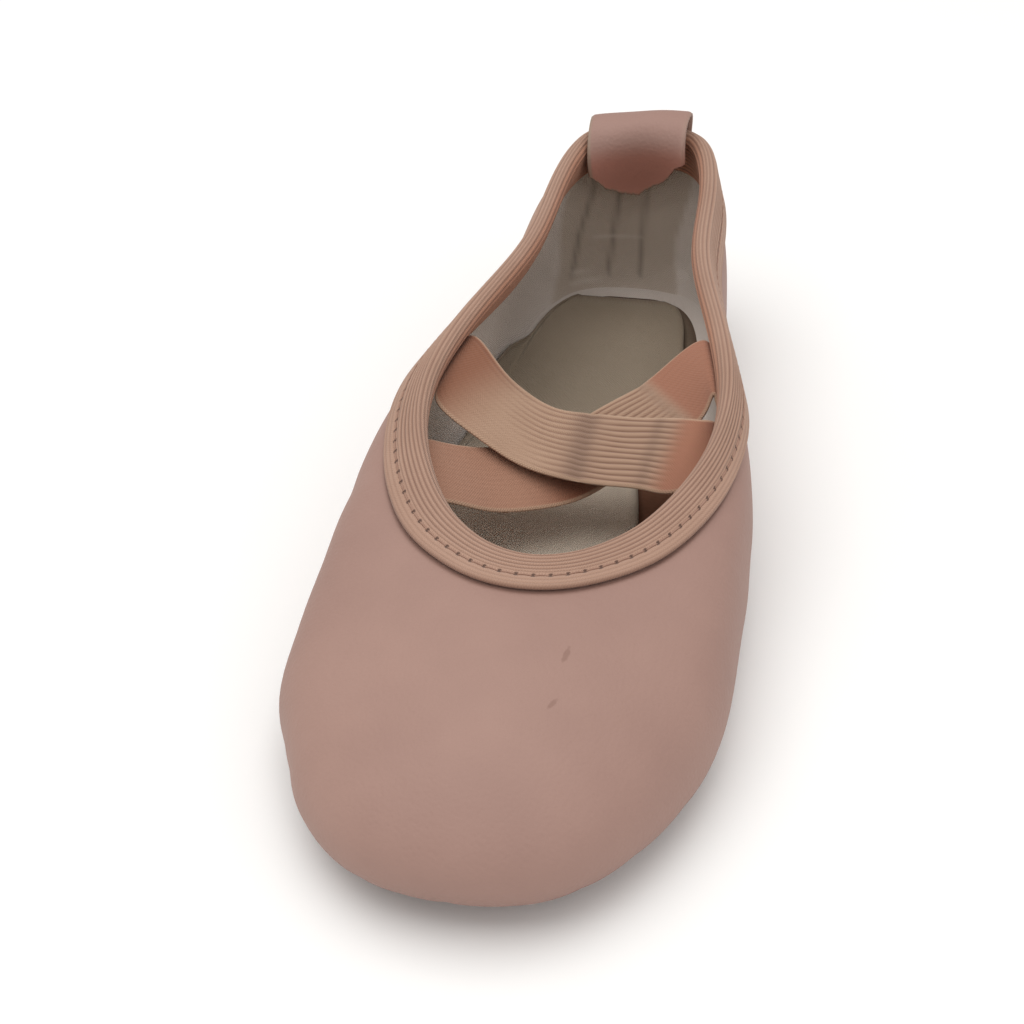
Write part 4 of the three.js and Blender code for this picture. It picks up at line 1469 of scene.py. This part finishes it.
def scuff_marks(marks, tint, strength):
    rows = []
    for x, y, turn, long, wide in marks:
        numbers = {"X": x, "Y": y, "Turn": math.radians(-turn), "Long": long, "Wide": wide}
        rows.append(((scuff, numbers), tint, strength))
    return rows


leather = finish(
    "pink_leather", [srgb(166, 133, 122), srgb(155, 123, 113)], 26,
    [
        # painted shade low on the sides
        ("low", srgb(124, 94, 86), 0.6),
        # painted shade in the gather valleys
        ("crease", srgb(92, 66, 58), 0.7),
        # painted contact shadow below the binding
        ("rim", srgb(104, 72, 60), 0.6),
        *scuff_marks(VAMP_SCUFFS, srgb(120, 88, 76), 0.4),
    ],
    [(grain, {"Scale": 1300.0}, 0.06), (grain, {"Scale": 260.0}, 0.05)], 0.62,
)
tab_finish = finish(
    "tab_leather", [srgb(160, 128, 118), srgb(152, 120, 110)], 26,
    # painted red reflected light on the inner leg, then the raw edges' own colour
    [("inside", srgb(190, 128, 112), 0.75), ("raw", srgb(150, 132, 116), 0.75)],
    [(grain, {"Scale": 1300.0}, 0.06)], 0.62,
)
suede = finish(
    "outsole_suede", [srgb(150, 122, 104), srgb(134, 106, 90)], 60,
    [
        ("worn", srgb(96, 80, 68), 0.5),
        ("groove", srgb(80, 60, 48), 0.7),
        *scuff_marks(SOLE_SCUFFS, srgb(84, 70, 62), 0.5),
    ],
    [(grain, {"Scale": 2600.0}, 0.12)], 0.95, sheen=0.25,
)
print("leathers:", leather.name, tab_finish.name, suede.name)

# %% Elastic finishes
elastic = finish(
    "binding_elastic", [srgb(182, 147, 128), srgb(174, 139, 120)], 60,
    [
        # painted shade and orange reflected light on the inner leg
        ("inner", srgb(186, 126, 96), 0.8),
        # painted shade in the rib grooves
        ("groove", srgb(112, 78, 64), 0.75),
        # painted shade along the outer edge
        ("hem", srgb(120, 86, 72), 0.5),
        ((holes, {"Pitch": stitch_step, "Line": STITCH_LINE}), srgb(74, 50, 42), 0.85),
    ],
    [(weave, {"Threads": 1.9}, 0.05)], 0.85, sheen=0.15,
)
strap_finish = finish(
    "strap_elastic", [srgb(178, 146, 124), srgb(170, 138, 116)], 60,
    [
        ("blush", srgb(156, 102, 80), 0.85),
        # painted shade at the over strap's sewn end and painted shadow on the under strap
        ("dusk", srgb(128, 76, 52), 0.85),
        # painted shade in the rib grooves
        ("groove", srgb(104, 68, 52), 0.85),
        # painted shade along the creases
        ("fold", srgb(110, 86, 74), 0.55),
        ("selvedge", srgb(186, 154, 130), 0.7),
    ],
    [(weave, {"Threads": 1.9}, 0.05)], 0.85, sheen=0.15,
)
thread = finish(
    "thread", [srgb(166, 132, 116), srgb(154, 120, 104)], 300, [],
    [(grain, {"Scale": 4000.0}, 0.03)], 0.7,
)
print("elastics:", elastic.name, strap_finish.name)

# %% Cotton finishes
cotton = finish(
    "lining_cotton", [srgb(226, 216, 208), srgb(212, 202, 194)], 40,
    [
        ("heel_piece", srgb(196, 182, 168), 0.85),
        # unlined leather towards the toe, with painted shade and red reflected light
        ("bare", srgb(170, 118, 98), 0.85),
        ("seam", srgb(90, 78, 68), 0.45),
        ("tack", srgb(225, 216, 206), 0.5),
    ],
    [(weave, {"Threads": 1.7}, 0.07)], 0.9, sheen=0.1,
)
sock_finish = finish(
    "sock_cotton", [srgb(240, 226, 208), srgb(222, 208, 190)], 60,
    # the heel pad's own colour, then painted shade along the sock's edge
    [("pad", srgb(128, 114, 96), 0.87), ("edge", srgb(120, 104, 88), 0.5)],
    [(weave, {"Threads": 1.5}, 0.07)], 0.92, sheen=0.1,
)
board_finish = finish(
    "board", [srgb(112, 98, 84), srgb(98, 84, 70)], 60,
    # the second tint is painted shade along the board's edge
    [("front", srgb(122, 80, 58), 0.9), ("rim", srgb(80, 60, 48), 0.6)],
    [(grain, {"Scale": 1800.0}, 0.08)], 0.9,
)
floor_finish = finish("floor_paint", [srgb(248, 248, 248), srgb(250, 250, 250)], 3, [], [], 0.9)
print("cottons and board:", cotton.name, sock_finish.name, board_finish.name)

# %% Each piece gets its finish
FINISHES = [
    (upper_leather, leather),
    (lining, cotton),
    (binding, elastic),
    (binding_stitches, thread),
    (strap_over, strap_finish),
    (strap_under, strap_finish),
    (heel_tab, tab_finish),
    (outsole, suede),
    (insole_board, board_finish),
    (insole_sock, sock_finish),
    (floor, floor_finish),
]
for piece, material in FINISHES:
    piece.data.materials.append(material)
print("finishes:", len(bpy.data.materials))
